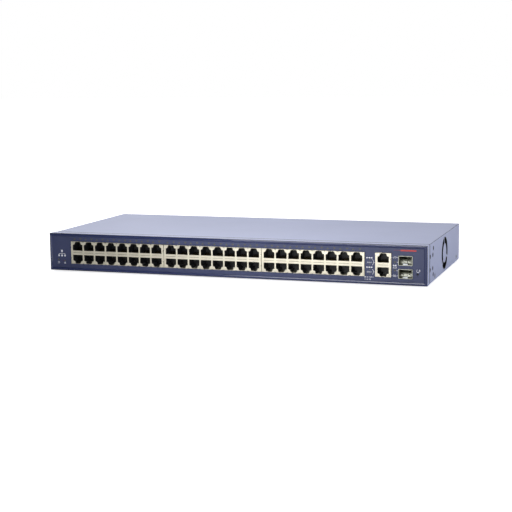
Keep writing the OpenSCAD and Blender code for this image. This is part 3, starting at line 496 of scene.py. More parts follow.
def softened(node, width):
    # the CAD node's own form with its sharp edges rounded, as folding, moulding and paint leave them
    look = softening
    bm = bmesh.new()
    bm.from_mesh(nodes[node].data)
    bmesh.ops.remove_doubles(bm, verts=bm.verts, dist=look["weld"] * mm)
    bmesh.ops.dissolve_limit(bm, angle_limit=math.radians(look["level"]), verts=bm.verts, edges=bm.edges)
    sharp = [e for e in bm.edges if e.is_manifold and e.calc_face_angle() > math.radians(look["sharp"])]
    bmesh.ops.bevel(bm, geom=sharp, offset=width * mm, segments=look["segments"], profile=0.5,
                    affect="EDGES", clamp_overlap=True)
    bmesh.ops.triangulate(bm, faces=[f for f in bm.faces if len(f.verts) > 4])
    mesh = bpy.data.meshes.new("softened")
    bm.to_mesh(mesh)
    bm.free()
    return mesh


# Casing: folded sheets and mouldings with rounded edges

softEdges = {  # node: piece, edge radius, finish, flat faces; the bezel's moulded faces are slightly crowned
    "top_cover": ["folded_cover", 0.25, "casing_paint", True],
    "front_frame": ["folded_frame", 0.25, "casing_paint", True],
    "base_tray": ["folded_tray", 0.2, "casing_paint", True],
    "front_bezel": ["bezel_moulding", 0.22, "bezel_plastic", False],
    "rubber_feet": ["moulded_feet", 0.3, "foot_rubber", True],
    "power_inlet": ["inlet_moulding", 0.25, "black_plastic", True],
}
for node, (pieceName, width, finish, flat) in softEdges.items():
    assemble(pieceName, [(softened(node, width), finish)], [node], flat=flat)
print("casing: %d softened pieces" % len(softEdges))


# Shadow groove behind the front frame: a flat black strip on the top and both sides paints the groove's shade

grooveShadeLook = {
    "wide": 2.2,  # from the front frame to the lid
    "strip": 1.2,  # the strip's thickness
    "inset": 0.08,  # below the frame's outside
    "play": 0.06,
    "bend": 1.3,
    "foot": 1.2,  # height of its two ends
    "edge": 0.05,
    "lip": 0.8,  # laps over the lid's front edge at the sides
    "lipSunk": 0.02,  # into the lid's side
    "lipEdge": 0.03,
}


def makeGrooveShade():
    look = grooveShadeLook
    high, back = spanOf("front_frame")[1], spanOf("top_cover")[0][1]
    foot, bend = look["foot"], look["bend"]
    outX, outZ = high[0] - look["inset"], high[2] - look["inset"]
    inX, inZ = outX - look["strip"], outZ - look["strip"]
    outline = ([(outX, foot)] + arc(outX - bend, outZ - bend, bend, 0, 90, 5)
               + arc(bend - outX, outZ - bend, bend, 90, 180, 5) + [(-outX, foot), (-inX, foot)]
               + [(-inX, inZ), (inX, inZ), (inX, foot)])
    strip = plate([outline], back - look["wide"] + look["play"], back - look["play"], look["edge"])
    # flat black that paints the groove's shade
    parts = [(strip, "grooveShadeBlack")]
    lidX = spanOf("top_cover")[1][0] - look["lipSunk"]
    for side in (-1, 1):
        corners = [(lidX, foot), (outX, foot), (outX, outZ - bend), (lidX, outZ - bend)]
        lip = plate([[(side * x, z) for x, z in corners]], back - look["play"], back + look["lip"],
                    look["lipEdge"])
        parts.append((lip, "grooveShadeBlack"))
    assemble("groove_shade_strip", parts)


makeGrooveShade()


# Lid edges: a painted shade line, a thin near-black strip halfway round each fold where the folded sides meet
# the top

seamShadeLook = {
    "bend": 1.4,  # outer radius of the fold
    "width": 0.38,
    "proud": 0.02,
    "deep": 0.1,
    "ends": (0.3, 0.5),  # short of the lid's front and rear
}


def makeEdgeShadeLines():
    look = seamShadeLook
    low, high = spanOf("top_cover")
    start, end = low[1] + look["ends"][0], high[1] - look["ends"][1]
    turn = math.degrees(look["width"] / look["bend"]) / 2
    parts = []
    for side in (-1, 1):
        middleX, middleZ = side * (high[0] - look["bend"]), high[2] - look["bend"]
        middle = 90 - side * 45  # halfway round the fold
        strip = (arc(middleX, middleZ, look["bend"] + look["proud"], middle - turn, middle + turn, 4)
                 + arc(middleX, middleZ, look["bend"] - look["deep"], middle + turn, middle - turn, 4))
        # the feet's black rubber finish paints the shade along the fold
        parts.append((plate([strip], start, end), "foot_rubber"))
    assemble("edge_shade_lines", parts)


makeEdgeShadeLines()


# Rack ear holes: tapped bushes pressed into both sides, their thread drawn as plain rings; their near-black
# finish partly paints the shade inside the holes

earLook = {
    "spots": [(18.8, 14.6), (18.8, 29.0), (33.8, 14.6), (33.8, 29.0), (36.5, 7.7), (36.5, 35.9)],  # d and z
    "collar": 2.5,
    "proud": 0.03,  # of the collar's edge
    "seat": 0.05,  # how far that edge goes into the side
    "sunk": 0.06,  # plain mouth before the thread
    "major": 1.97,
    "minor": 1.62,
    "root": 0.05,  # below the major radius, and the step before the first turn
    "turn": 0.7,
    "turns": 4,
}


def makeBushes():
    look = earLook
    collar, major, sunk, turn = look["collar"], look["major"], look["sunk"], look["turn"]
    profile = [(collar, look["seat"]), (collar, -look["proud"]), (major, 0.0), (major, sunk)]
    for k in range(look["turns"]):
        start = sunk + look["root"] + k * turn
        profile += [(look["minor"], start + turn / 2), (major - look["root"], start + turn)]
    parts = []
    for side in (-1, 1):
        faceX = spanOf("top_cover")[1][0] * side
        for d, z in look["spots"]:
            bush = lathe(profile, lambda u, v, h: at(faceX - side * h, d + u, z + v), 24, False)
            # near black, partly painted shade of the hole
            parts.append((bush, "blackOxideHoleShade"))
    assemble("ear_threads", parts)


makeBushes()


# Fan vent: a black band lining the cut edges of its three openings paints their shade

ventEdgeShadeLook = {
    "outer": 18.0,
    "disc": 11.0,
    "arms": (100, 220, 340),  # degrees
    "arm": 2.6,
    "sheet": 1.0,  # depth of the cut edges
    "edging": 0.3,  # how far it narrows an opening
    "lap": 0.25,  # how far it goes over the sheet round it
    "proud": 0.03,
    "edge": 0.02,
}


def ventOpening(start, end, shrink):
    look = ventEdgeShadeLook
    points = []
    for r, first, last in ((look["outer"] - shrink, start, end), (look["disc"] + shrink, end, start)):
        turn = math.degrees(math.asin((look["arm"] / 2 + shrink) / r))
        turn = turn if first < last else -turn
        points += arc(0, 0, r, first + turn, last - turn, 24)
    return points


def makeVentEdgeShade():
    look = ventEdgeShadeLook
    low, high = spanOf("fan_shaft")
    middle = at(spanOf("top_cover")[1][0], (low[1] + high[1]) / 2, (low[2] + high[2]) / 2)
    turn = (Matrix.Translation(middle) @ Matrix.Rotation(math.radians(90), 4, "Z")
            @ Matrix.Translation(-at(0, 0, 0)))
    parts = []
    for start, end in zip(look["arms"], look["arms"][1:] + (look["arms"][0] + 360,)):
        outlines = [ventOpening(start, end, shrink) for shrink in (-look["lap"], look["edging"])]
        ring = plate(outlines, -look["proud"], look["sheet"], look["edge"])
        ring.transform(turn)
        # black plastic finish as painted shade of the cut edges
        parts.append((ring, "black_plastic"))
    assemble("vent_edge_shade", parts)


makeVentEdgeShade()
print("sides: groove shade strip, lid edge shade lines, vent edge shade and %d tapped bushes" % (2 * len(earLook["spots"])))


# Jack shields: stamped faces with arched latch keys, seam slots and notched edges

shieldLook = {
    "pitch": 13.97,
    "sides": 2.9,  # what a shield's width has beyond its sockets
    "mouth": [(6.1, 2.5), (6.1, 8.6), (5.8, 9.15), (4.6, 9.4), (4.1, 9.8), (3.75, 10.9), (3.3, 11.9),
              (2.4, 12.5)],  # half of a socket's opening: x and height from the middle line
    "sheet": 0.3,
    "edge": 0.09,
    "fold": 0.6,  # from the face to the walls behind it
    "wallEdge": 0.03,
    "notch": (2.6, 1.4, 0.55),  # width at the edge, width at its floor, depth
    "sideNotch": 0.55,
    "sideNotchZ": (6.2, -6.3),
    "seam": (11.4, 0.28, 0.13),  # slot between the upper and lower sockets: length, height, end radius
}


def keyholeMouth(x, z, way):
    side = shieldLook["mouth"]
    outline = side + [(-u, v) for u, v in reversed(side)]
    return [(x + u, z + way * v) for u, v in outline]


def notchedFace(low, high, dividers):
    wide, narrow, deep = shieldLook["notch"]
    r, midZ = shieldLook["sideNotch"], (low[2] + high[2]) / 2
    sideZ = sorted(midZ + z for z in shieldLook["sideNotchZ"])
    bottom = [p for x in dividers for p in [(x - wide / 2, low[2]), (x - narrow / 2, low[2] + deep),
                                            (x + narrow / 2, low[2] + deep), (x + wide / 2, low[2])]]
    top = [(x, low[2] + high[2] - z) for x, z in reversed(bottom)]
    right = [p for z in sideZ for p in arc(high[0], z, r, 270, 90, 6)]
    left = [p for z in reversed(sideZ) for p in arc(low[0], z, r, 90, -90, 6)]
    return ([(low[0], low[2])] + bottom + [(high[0], low[2])] + right + [(high[0], high[2])] + top
            + [(low[0], high[2])] + left)


def makeShield(number):
    look = shieldLook
    low, high = spanOf("jack_shield_%d" % number)
    midX, midZ = (low[0] + high[0]) / 2, (low[2] + high[2]) / 2
    columns = round((high[0] - low[0] - look["sides"]) / look["pitch"])
    start = midX - columns * look["pitch"] / 2
    centres = [start + (k + 0.5) * look["pitch"] for k in range(columns)]
    dividers = [start + k * look["pitch"] for k in range(1, columns)]
    front, sheet = low[1], look["sheet"]
    length, height, r = look["seam"]
    cuts = [keyholeMouth(x, midZ, way) for x in centres for way in (1, -1)]
    cuts += [roundedBox(x - length / 2, midZ - height / 2, x + length / 2, midZ + height / 2, r)
             for x in centres]
    face = plate([notchedFace(low, high, dividers)] + cuts, front, front + sheet, look["edge"], 2)
    outer, inner = [[(low[0] + t, low[2] + t), (high[0] - t, low[2] + t), (high[0] - t, high[2] - t),
                     (low[0] + t, high[2] - t)] for t in (0, sheet)]
    wall = plate([outer, inner], front + sheet + look["fold"], high[1], look["wallEdge"])
    parts = [(face, "tin_plate"), (wall, "tin_plate")]
    assemble("formed_shield_%d" % number, parts, ["jack_shield_%d" % number])


for number in range(1, 5):
    makeShield(number)
print("jack shields: 4 stamped faces")


# Transceiver cages: folded shells with a latch tongue, ejector springs and side springs

cageLook = {
    "sheet": 0.25,
    "corner": 0.5,
    "tall": 9.5,
    "edge": 0.06,
    "tongue": [(0.75, 0.1), (2.2, 0.35), (4.6, 0.6), (8.0, 0.6), (13.0, 0.1)],  # latch tongue: d and height
    "tongueWidth": 5.2,
    "lip": 1.5,  # height of the latch tongue's turned-up front
    "lipSpan": (0.3, 0.55),
    "lipCorner": 0.3,
    "lipEdge": 0.08,
    "leaf": [(5.0, 0.1), (6.0, 0.35), (6.5, 1.0), (6.8, 1.9), (7.15, 3.0), (7.6, 4.0), (8.2, 4.8),
             (9.0, 5.3)],  # ejector spring: d and height
    "leaves": [(-6.6, 0.75), (1.1, 6.6)],  # ejector springs from and to, across the cage
    "leafHoles": [(-5.4, 4.1), (-4.3, 3.3), (-3.2, 2.5), (3.2, 3.4), (4.8, 2.3)],
    "leafHole": 0.5,
    "leafHoleSpan": (6.4, 7.4),
    "sideSpring": [(1.2, 0.0), (2.2, 0.4), (3.2, 0.55), (4.2, 0.4), (5.0, 0.0)],
    "sideSpringWidth": 1.6,
    "springHeights": (-2.1, 1.6),
    "strip": 0.15,
}


def makeCage(node, pieceName):
    look = cageLook
    low, high = spanOf(node)
    boxHigh = high[2]
    boxLow = boxHigh - look["tall"]
    midX, midZ = (low[0] + high[0]) / 2, (boxLow + boxHigh) / 2
    t, r, front, edge = look["sheet"], look["corner"], low[1], look["edge"]
    outer = roundedBox(low[0], boxLow, high[0], boxHigh, r)
    inner = roundedBox(low[0] + t, boxLow + t, high[0] - t, boxHigh - t, r - t / 2)
    parts = [(plate([outer, inner], front, high[1] - t, edge), "nickelSilver"),
             (plate([outer], high[1] - t, high[1], edge), "nickelSilver")]
    floor = boxLow + t
    wide = look["tongueWidth"] / 2
    lip = roundedBox(midX - wide, floor, midX + wide, floor + look["lip"], look["lipCorner"])
    start, end = look["lipSpan"]
    parts.append((plate([lip], front + start, front + end, look["lipEdge"], 2), "zinc_plate"))
    parts.append((prism(ribbon(look["tongue"], look["strip"]), -wide, wide,
                        lambda u, v, w: at(midX + w, front + u, floor + v)), "nickelSilver"))
    for start, end in look["leaves"]:
        parts.append((prism(ribbon(look["leaf"], look["strip"]), start, end,
                            lambda u, v, w: at(midX + w, front + u, floor + v)), "nickelSilver"))
    # black discs on the ejector springs paint the shade of holes through them
    start, end = look["leafHoleSpan"]
    for x, z in look["leafHoles"]:
        holeShadeDisc = arc(midX + x, floor + z, look["leafHole"], 0, 330, 11)
        parts.append((plate([holeShadeDisc], front + start, front + end), "black_plastic"))
    half = look["sideSpringWidth"] / 2
    for side, wallX in ((1, low[0] + t), (-1, high[0] - t)):
        for z in look["springHeights"]:
            parts.append((prism(ribbon(look["sideSpring"], look["strip"]), z - half, z + half,
                                lambda u, v, w: at(wallX + side * v, front + u, midZ + w)), "nickelSilver"))
    assemble(pieceName, parts, [node])


makeCage("upper_cage", "folded_cage_upper")
makeCage("lower_cage", "folded_cage_lower")


# Spring collars: a front ring round each cage, and fingers that press on the frame

collarLook = {
    "band": 0.12,
    "finger": [(0.0, 0.0), (0.5, 0.24), (1.2, 0.36), (2.2, 0.36), (3.2, 0.22), (4.4, 0.0)],  # d and height
    "gap": 0.45,
    "across": 5,  # fingers along the top and bottom
    "upright": 3,  # fingers along each side
    "end": 0.4,  # bare corner beside them
    "play": 0.04,  # round the cage
    "ring": (0.36, -0.02),  # the ring's outside and inside, over that play
    "ringDeep": 0.25,
    "ringEdge": 0.1,
}


def makeCollars():
    look = collarLook
    low, high = spanOf("cage_springs")
    cageLow, cageHigh = spanOf("upper_cage")
    tall, end = cageLook["tall"], look["end"]
    finger = ribbon(look["finger"], -look["band"])
    halfW, halfH = (cageHigh[0] - cageLow[0]) / 2 + look["play"], tall / 2 + look["play"]
    midX, front = (low[0] + high[0]) / 2, low[1]
    parts = []
    for cage in ("upper_cage", "lower_cage"):
        midZ = spanOf(cage)[1][2] - tall / 2
        ring = [roundedBox(midX - halfW - r, midZ - halfH - r, midX + halfW + r, midZ + halfH + r,
                           cageLook["corner"] + r) for r in look["ring"]]
        parts.append((plate(ring, front, front + look["ringDeep"], look["ringEdge"], 2), "nickelSilver"))
        for way in (1, -1):
            for count, reach, upright in ((look["across"], halfW, False), (look["upright"], halfH, True)):
                step = 2 * (reach - end) / count
                for k in range(count):
                    start = -reach + end + k * step + look["gap"] / 2
                    if upright:
                        place = lambda u, v, w: at(midX + way * (halfW + v), front + u, midZ + w)
                    else:
                        place = lambda u, v, w: at(midX + w, front + u, midZ + way * (halfH + v))
                    parts.append((prism(finger, start, start + step - look["gap"], place), "nickelSilver"))
    assemble("spring_collars", parts, ["cage_springs"])


makeCollars()
print("cages: 2 shells and their spring collars")


# Label print: plain marks, pictograms and the two socket numbers, all places in x and z

inkLook = {
    "lift": 0.02,  # ink thickness
    "line": 0.36,
    "fineLine": 0.3,
    "linkStep": 2.6,
    "linkBox": 1.3,
    "arrowStep": 1.35,
    "arrow": (0.4, 0.35, 0.7),  # behind its middle, ahead of it, half its height
    "captionX": 158.0,
    "linkZ": (28.3, 18.2),
    "speedX": 157.8,
    "speedZ": (23.3, 13.2),
    "brackets": ((26.4, 20.8, 23.5), (15.9, 10.9, 13.4)),  # upper end, lower end, tick
    "bracketX": 162.3,
    "bracketBend": 1.3,  # radius, and the tick's length
    "keys": ((7.6, 1.3, 4), (5.2, 0.7, 2)),  # key to the speed lamps: z, size of its lamp, arrows
    "keyX": 153.4,
    "equals": (155.0, 156.6, 0.35),  # equals sign: from, to, each line off the middle
    "numbers": (("49", 29.5), ("50", 10.1)),
    "numberX": 185.1,
    "numberStep": 1.6,
    "numberHeight": 1.9,
    "numberLine": 0.32,
    "dashes": ((181.6, 182.9), (187.3, 189.0)),  # left and right of a number
    "lampDashZ": (24.6, 15.7),
    "cageLink": (185.3, 21.1, 2, 2.4),  # x, z, boxes, step
    "cageOval": (183.5, 18.2, 187.1, 19.5, 0.3),
    "resetTurn": (210.1, 16.0, 1.5, 110, 400, 14),  # turning arrow: middle, radius, angles, steps
    "resetLine": 0.42,
    "resetHead": [(210.6, 15.9), (212.1, 17.9), (212.6, 15.6)],
    "powerTurn": (-208.9, 9.2, 0.95, 125, 415, 12),
    "powerLine": 0.34,
    "powerBar": (9.75, 1.3),  # z and height
    "fan": (-201, 8.9, 0.62, 0.5),  # middle, how far out its three dots are, their radius
    "netX": -204.6,
    "netSpread": 3.8,
    "netBox": (22.6, 2.2),  # each of these: z and size
    "netStem": (20.5, 2.2),
    "netRail": 19.5,
    "netLegs": (18.7, 1.6),
    "netEnds": (17.2, 1.9),
    "stripes": ((184.1, 191.5, 37.4, 0.4, "darkRedInk"), (191.5, 208.2, 37.3, 1.6, "redInk")),
}
labelFront = spanOf("front_label")[0][1]
inkParts = []


def ink(outlines, colour="whiteInk"):
    inkParts.append((plate(outlines, labelFront - inkLook["lift"], labelFront), colour))


def stroke(points, width=None, closed=False):
    half = (width or inkLook["line"]) / 2
    count = len(points)
    sides = [[], []]
    for k, (x, z) in enumerate(points):
        x0, z0 = points[k - 1] if closed or k else points[k]
        x1, z1 = points[(k + 1) % count] if closed or k < count - 1 else points[k]
        length = math.hypot(x1 - x0, z1 - z0) or 1
        across = (-(z1 - z0) / length * half, (x1 - x0) / length * half)
        sides[0].append((x + across[0], z + across[1]))
        sides[1].append((x - across[0], z - across[1]))
    ink(sides if closed else [sides[0] + sides[1][::-1]])


def bar(x0, x1, z, thick=None, colour="whiteInk"):
    half = (thick or inkLook["line"]) / 2
    ink([[(x0, z - half), (x1, z - half), (x1, z + half), (x0, z + half)]], colour)


def upright(x, z, tall, thick=None):
    half = (thick or inkLook["line"]) / 2
    bar(x - half, x + half, z, tall)


def square(x, z, size):
    upright(x, z, size, size)


def linkMark(x, z, count, step):
    size = inkLook["linkBox"]
    for k in range(count):
        middle = x + (k - (count - 1) / 2) * step
        square(middle, z, size)
        if k:
            bar(middle - step + size / 2, middle - size / 2, z)


def speedMark(x, z, count):
    behind, ahead, half = inkLook["arrow"]
    for k in range(count):
        tip = x + (k - (count - 1) / 2) * inkLook["arrowStep"]
        stroke([(tip - behind, z + half), (tip + ahead, z), (tip - behind, z - half)])


def digit(symbol, x, z, height):
    half, top, bottom = 0.3 * height, z + height / 2, z - height / 2
    ring = [2 * math.pi * k / 16 for k in range(16)]
    shapes = {
        "0": [([(x + half * math.cos(a), z + height / 2 * math.sin(a)) for a in ring], True)],
        "4": [([(x + 0.4 * half, bottom), (x + 0.4 * half, top), (x - half, z - 0.2 * height),
                (x + half, z - 0.2 * height)], False)],
        "5": [([(x + 0.9 * half, top), (x - 0.7 * half, top), (x - 0.8 * half, z + 0.05 * height)]
               + arc(x - 0.05 * half, z - 0.18 * height, 0.3 * height, 110, -140, 8), False)],
        "9": [(arc(x, z + 0.2 * height, 0.29 * height, 0, 330, 11), True),
              ([(x + 0.29 * height, z + 0.2 * height), (x + 0.1 * height, bottom)], False)],
    }
    for points, closed in shapes[symbol]:
        stroke(points, inkLook["numberLine"], closed)


def printJackSigns():
    look = inkLook
    for z in look["linkZ"]:
        linkMark(look["captionX"], z, 3, look["linkStep"])
    for z in look["speedZ"]:
        speedMark(look["speedX"], z, 4)
    x, r = look["bracketX"], look["bracketBend"]
    for high, low, tick in look["brackets"]:
        stroke(arc(x - r, high - r, r, 90, 0, 4) + arc(x - r, low + r, r, 0, -90, 4))
        bar(x, x + r, tick)
    start, end, off = look["equals"]
    for z, size, count in look["keys"]:
        square(look["keyX"], z, size)
        bar(start, end, z + off, look["fineLine"])
        bar(start, end, z - off, look["fineLine"])
        speedMark(look["captionX"] + (count - 1) * look["arrowStep"] / 2, z, count)


def printCageSigns():
    look = inkLook
    for text, z in look["numbers"]:
        for start, end in look["dashes"]:
            bar(start, end, z)
        for k, symbol in enumerate(text):
            digit(symbol, look["numberX"] + (k - 0.5) * look["numberStep"], z, look["numberHeight"])
    for z in look["lampDashZ"]:
        bar(*look["dashes"][1], z)
    linkMark(*look["cageLink"])
    stroke(roundedBox(*look["cageOval"]), look["fineLine"], True)
    stroke(arc(*look["resetTurn"]), look["resetLine"])
    ink([look["resetHead"]])


def printStatusSigns():
    look = inkLook
    stroke(arc(*look["powerTurn"]), look["powerLine"])
    upright(look["powerTurn"][0], *look["powerBar"], look["powerLine"])
    x, z, out, r = look["fan"]
    for angle in (90, 210, 330):
        turn = math.radians(angle)
        ink([arc(x + out * math.cos(turn), z + out * math.sin(turn), r, 0, 330, 11)])
    x, spread = look["netX"], look["netSpread"]  # network sign: one box joined to three
    square(x, *look["netBox"])
    upright(x, *look["netStem"])
    bar(x - spread, x + spread, look["netRail"])
    for legX in (x - spread, x, x + spread):
        upright(legX, *look["netLegs"])
        square(legX, *look["netEnds"])


printJackSigns()
printCageSigns()
printStatusSigns()
for stripe in inkLook["stripes"]:
    bar(*stripe)
print("label print: %d marks" % len(inkParts))
assemble("label_print", inkParts)


# Screws with cross recesses

screwLook = {
    "recess": 1.7,  # reach of the cross
    "blade": 0.55,
    "deep": 0.7,
    "edge": 0.15,
    "tuck": (0.1, 0.05),  # how far the head's back starts inside its rim and recess
    "shank": (1.4, 3.5),  # radius, and length behind the head
    "point": (1.0, 4.0),
    "sides": ((46.8, 4.6), (183.8, 5.2)),  # d and z
    "sideHead": (2.75, 1.0, 1.6),  # radius, height, radius at its back
    "rearX": (-150, 0, 120),
    "rearZ": 35.6,
    "rearHead": (2.8, 1.6, 2.8),
    "inletInset": 3.2,  # from the ends of the solid screws to their middles
    "inletHead": (2.9, 1.5, 1.6),
}


def crossRecess():
    arm, half = screwLook["recess"], screwLook["blade"] / 2
    quarter = [(arm, -half), (arm, half), (half, half)]
    turns = [(1, 0), (0, 1), (-1, 0), (0, -1)]
    return [(c * u - s * v, s * u + c * v) for c, s in turns for u, v in quarter]


def screwHead(place, radius, height, backRadius):
    # a flat or pan head: a rim round the cross recess, then the head's back, the shank and its point
    look = screwLook
    rim = [(radius * math.cos(a), radius * math.sin(a)) for a in [2 * math.pi * k / 32 for k in range(32)]]
    bm = bmesh.new()
    bm.from_mesh(plate([rim, crossRecess()], 0, look["deep"], look["edge"], 2))
    bmesh.ops.transform(bm, matrix=Matrix.Translation(at(0, 0, 0)).inverted(), verts=bm.verts)
    for v in bm.verts:
        v.co = place(v.co.x / mm, v.co.z / mm, v.co.y / mm)
    bmesh.ops.recalc_face_normals(bm, faces=bm.faces)
    mesh = bpy.data.meshes.new("head")
    bm.to_mesh(mesh)
    bm.free()
    shankR, shank = look["shank"]
    pointR, point = look["point"]
    profile = [(radius - look["tuck"][0], look["deep"] - look["tuck"][1]), (backRadius, height),
               (shankR, height), (shankR, height + shank), (pointR, height + point)]
    return [(mesh, "blackZinc"), (lathe(profile, place, 24), "blackZinc")]


def makeScrews():
    look = screwLook
    high = spanOf("cover_screws")[1]
    parts = []
    for side in (-1, 1):
        faceX = side * high[0]
        for d, z in look["sides"]:
            parts += screwHead(lambda u, v, h: at(faceX - side * h, d + u, z + v), *look["sideHead"])
    for x in look["rearX"]:
        parts += screwHead(lambda u, v, h: at(x + u, high[1] - h, look["rearZ"] + v), *look["rearHead"])
    assemble("cross_screws", parts, ["cover_screws"])
    low, high = spanOf("inlet_screws")
    midZ = (low[2] + high[2]) / 2
    parts = []
    for x in (low[0] + look["inletInset"], high[0] - look["inletInset"]):
        parts += screwHead(lambda u, v, h: at(x + u, high[1] - h, midZ + v), *look["inletHead"])
    assemble("inlet_cross_screws", parts, ["inlet_screws"])


makeScrews()
print("screws: cross recesses cut")


# Fan wheel: a cup-shaped hub with curved, twisted blades

fanLook = {
    "back": 1.5,  # the wheel's sizes along its axis start this far before the shaft
    "hub": 10.5,
    "hubIn": 9.3,
    "hubSpan": (2.8, 18.5),
    "top": 1.5,
    "rounding": ((0, 1.2), (0.35, 0.4), (1.2, 0)),  # hub's front corner: in from its side, back from its face
    "boss": (2.5, 13.0),  # radius, start along the axis
    "shaft": 1.0,
    "bore": 2.1,  # the bore's end, back from the hub's face
    "blades": 7,
    "tip": 18.1,
    "root": 0.4,  # how far a blade starts inside the hub
    "bladeSpan": (4.1, 16.9),
    "pitch": (34, 48),  # degrees at the root and at the tip
    "camber": 1.3,
    "thick": 1.1,
    "edgeShare": 0.35,  # of that thickness at a blade's edges
    "sections": 5,  # from root to tip
    "chords": 4,  # from a blade's middle to its edge
}


def bladeMesh(turn, place):
    look = fanLook
    low, high = look["bladeSpan"]
    middle, half = (low + high) / 2, (high - low) / 2
    root, edge, chords = look["hub"] - look["root"], look["edgeShare"], look["chords"]
    bm = bmesh.new()
    grid = []
    for i in range(look["sections"] + 1):
        part = i / look["sections"]
        r = root + (look["tip"] - root) * part
        lean = math.tan(math.radians(look["pitch"][0] + (look["pitch"][1] - look["pitch"][0]) * part))
        loop = []
        for face in (1, -1):
            for j in range(2 * chords + 1):
                along = face * (j / chords - 1)
                bulge = 1 - along * along
                thick = look["thick"] * (edge + (1 - edge) * bulge) / 2
                angle = turn + (along * half * lean + look["camber"] * bulge + face * thick) / r
                point = place(r * math.cos(angle), r * math.sin(angle), middle + along * half)
                loop.append(bm.verts.new(point))
        grid.append(loop)
    count = len(grid[0])
    for inner, outer in zip(grid, grid[1:]):
        for k in range(count):
            bm.faces.new([inner[k], inner[(k + 1) % count], outer[(k + 1) % count], outer[k]])
    bm.faces.new(grid[0][::-1])
    bm.faces.new(grid[-1])
    bmesh.ops.recalc_face_normals(bm, faces=bm.faces)
    mesh = bpy.data.meshes.new("blade")
    bm.to_mesh(mesh)
    bm.free()
    return mesh


def makeFanWheel():
    look = fanLook
    low, high = spanOf("fan_shaft")
    axisD, axisZ, inner = (low[1] + high[1]) / 2, (low[2] + high[2]) / 2, low[0] - look["back"]
    place = lambda u, v, h: at(inner + h, axisD + u, axisZ + v)
    start, end = look["hubSpan"]
    bossR, bossStart = look["boss"]
    hub = [(look["shaft"], end - look["bore"]), (look["shaft"], bossStart), (bossR, bossStart),
           (bossR, end - look["top"]), (look["hubIn"], end - look["top"]), (look["hubIn"], start),
           (look["hub"], start)]
    hub += [(look["hub"] - across, end - back) for across, back in look["rounding"]]
    hub.append((look["shaft"], end))
    parts = [(lathe(hub, place, 48), "black_plastic")]
    for k in range(look["blades"]):
        parts.append((bladeMesh(2 * math.pi * k / look["blades"], place), "black_plastic"))
    assemble("fan_impeller", parts, ["fan_rotor"], "fan_wheel")


makeFanWheel()
print("fan wheel: %d blades" % fanLook["blades"])


# Studio: pale paper floor, white surroundings and soft boxes, in metres

studioLook = {
    "room": 0.02,  # light from the dark side of the studio, in front of the part
    "sweep": 0.56,  # light from the white paper sweep behind it
    "turn": (-0.2, 0.6),  # how far forward and back the dark side turns into the sweep
    "paper": "#f6f6f6",
    "reach": 9,  # of the floor, each way
    "lift": 0.8,  # what the paper adds for the camera near the part
    "clear": (0.5, 1.1),  # distances from the middle over which the paper turns to plain white
    "boxes": [  # name, place, aim, size, watts
        ("topBox", (-0.22, 0.45, 0.6), (-0.12, 0.08, 0), (0.4, 0.4), 1.9),
        ("backBox", (-0.8, 0.9, 0.5), (-0.1, 0.05, 0), (0.6, 0.5), 0.6),
        ("overheadStrip", (0.07, -0.21, 0.5), (0.07, -0.15, 0), (0.5, 0.06), 0.75),
        ("sideBox", (1.0, 0.0, 0.2), (0.2, 0, 0.02), (0.5, 0.32), 2.25),
        ("lowBox", (0.21, -0.6, 0.1), (0.11, -0.1, 0.02), (0.3, 0.12), 0.78),
        ("floorBox", (0.01, -0.3, 0.12), (0.01, -0.3, 0), (0.26, 0.1), 0.58),
    ],
}


def shownRays(tree):
    # rays that show the background itself: those to the camera, and with them those mirrored in metal
    # or sent through glass
    path = addNode(tree, "ShaderNodeLightPath")
    mirrored = addNode(tree, "ShaderNodeMath", {"operation": "MAXIMUM"},
                       {0: path.outputs["Is Glossy Ray"], 1: path.outputs["Is Transmission Ray"]})
    shown = addNode(tree, "ShaderNodeMath", {"operation": "MAXIMUM"},
                    {0: path.outputs["Is Camera Ray"], 1: mirrored.outputs[0]})
    return path.outputs["Is Camera Ray"], shown.outputs[0]


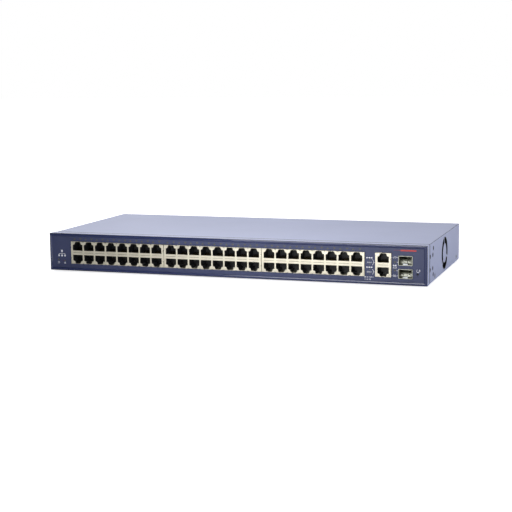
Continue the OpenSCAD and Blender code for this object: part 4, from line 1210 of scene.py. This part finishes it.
def makeSurroundings():
    look = studioLook
    scene.world = bpy.data.worlds.new("studio")
    scene.world.use_nodes = True
    tree = scene.world.node_tree
    heading = addNode(tree, "ShaderNodeSeparateXYZ", None,
                      {0: addNode(tree, "ShaderNodeTexCoord").outputs["Generated"]})
    camera, shown = shownRays(tree)
    front = addNode(tree, "ShaderNodeMix", {2: look["room"], 3: 1.0}, {0: camera})
    back = addNode(tree, "ShaderNodeMix", {2: look["sweep"], 3: 1.0}, {0: shown})
    level = addNode(tree, "ShaderNodeMapRange", {"From Min": look["turn"][0], "From Max": look["turn"][1]},
                    {"Value": heading.outputs["Y"], "To Min": front.outputs[0], "To Max": back.outputs[0]})
    background = tree.nodes["Background"]
    background.inputs["Color"].default_value = linear("#ffffff")
    tree.links.new(level.outputs[0], background.inputs["Strength"])


def studioPaper():
    # matt studio paper: it takes the part's soft shadow and turns to plain white further out
    look = studioLook
    material, tree, shader, place = startMaterial("studioPaper", {
        "Base Color": linear(look["paper"]), "Roughness": 1.0, "Specular IOR Level": 0.0,
        "Emission Color": linear("#ffffff")})
    away = addNode(tree, "ShaderNodeVectorMath", {"operation": "LENGTH"}, {0: place})
    near, far = look["clear"]
    camera, shown = shownRays(tree)
    lift = addNode(tree, "ShaderNodeMath", {"operation": "MULTIPLY", 1: look["lift"]}, {0: camera})
    glow = addNode(tree, "ShaderNodeMapRange", {"From Min": near, "From Max": far},
                   {"Value": away.outputs["Value"], "To Min": lift.outputs[0], "To Max": shown})
    tree.links.new(glow.outputs[0], shader.inputs["Emission Strength"])
    return material


def makeFloor():
    reach = studioLook["reach"]
    mesh = bpy.data.meshes.new("floor")
    corners = [(-reach, -reach, 0), (reach, -reach, 0), (reach, reach, 0), (-reach, reach, 0)]
    mesh.from_pydata(corners, [], [(0, 1, 2, 3)])
    mesh.materials.append(studioPaper())
    floor = bpy.data.objects.new("floor", mesh)
    scene.collection.objects.link(floor)


def makeSoftBoxes():
    for name, place, aim, size, watts in studioLook["boxes"]:
        lamp = bpy.data.lights.new(name, "AREA")
        lamp.shape = "RECTANGLE"
        lamp.size, lamp.size_y = size
        lamp.energy = watts
        box = bpy.data.objects.new(name, lamp)
        box.location = place
        box.rotation_euler = (Vector(aim) - Vector(place)).to_track_quat("-Z", "Y").to_euler()
        scene.collection.objects.link(box)


makeSurroundings()
makeFloor()
makeSoftBoxes()
print("studio: %d soft boxes" % len(studioLook["boxes"]))
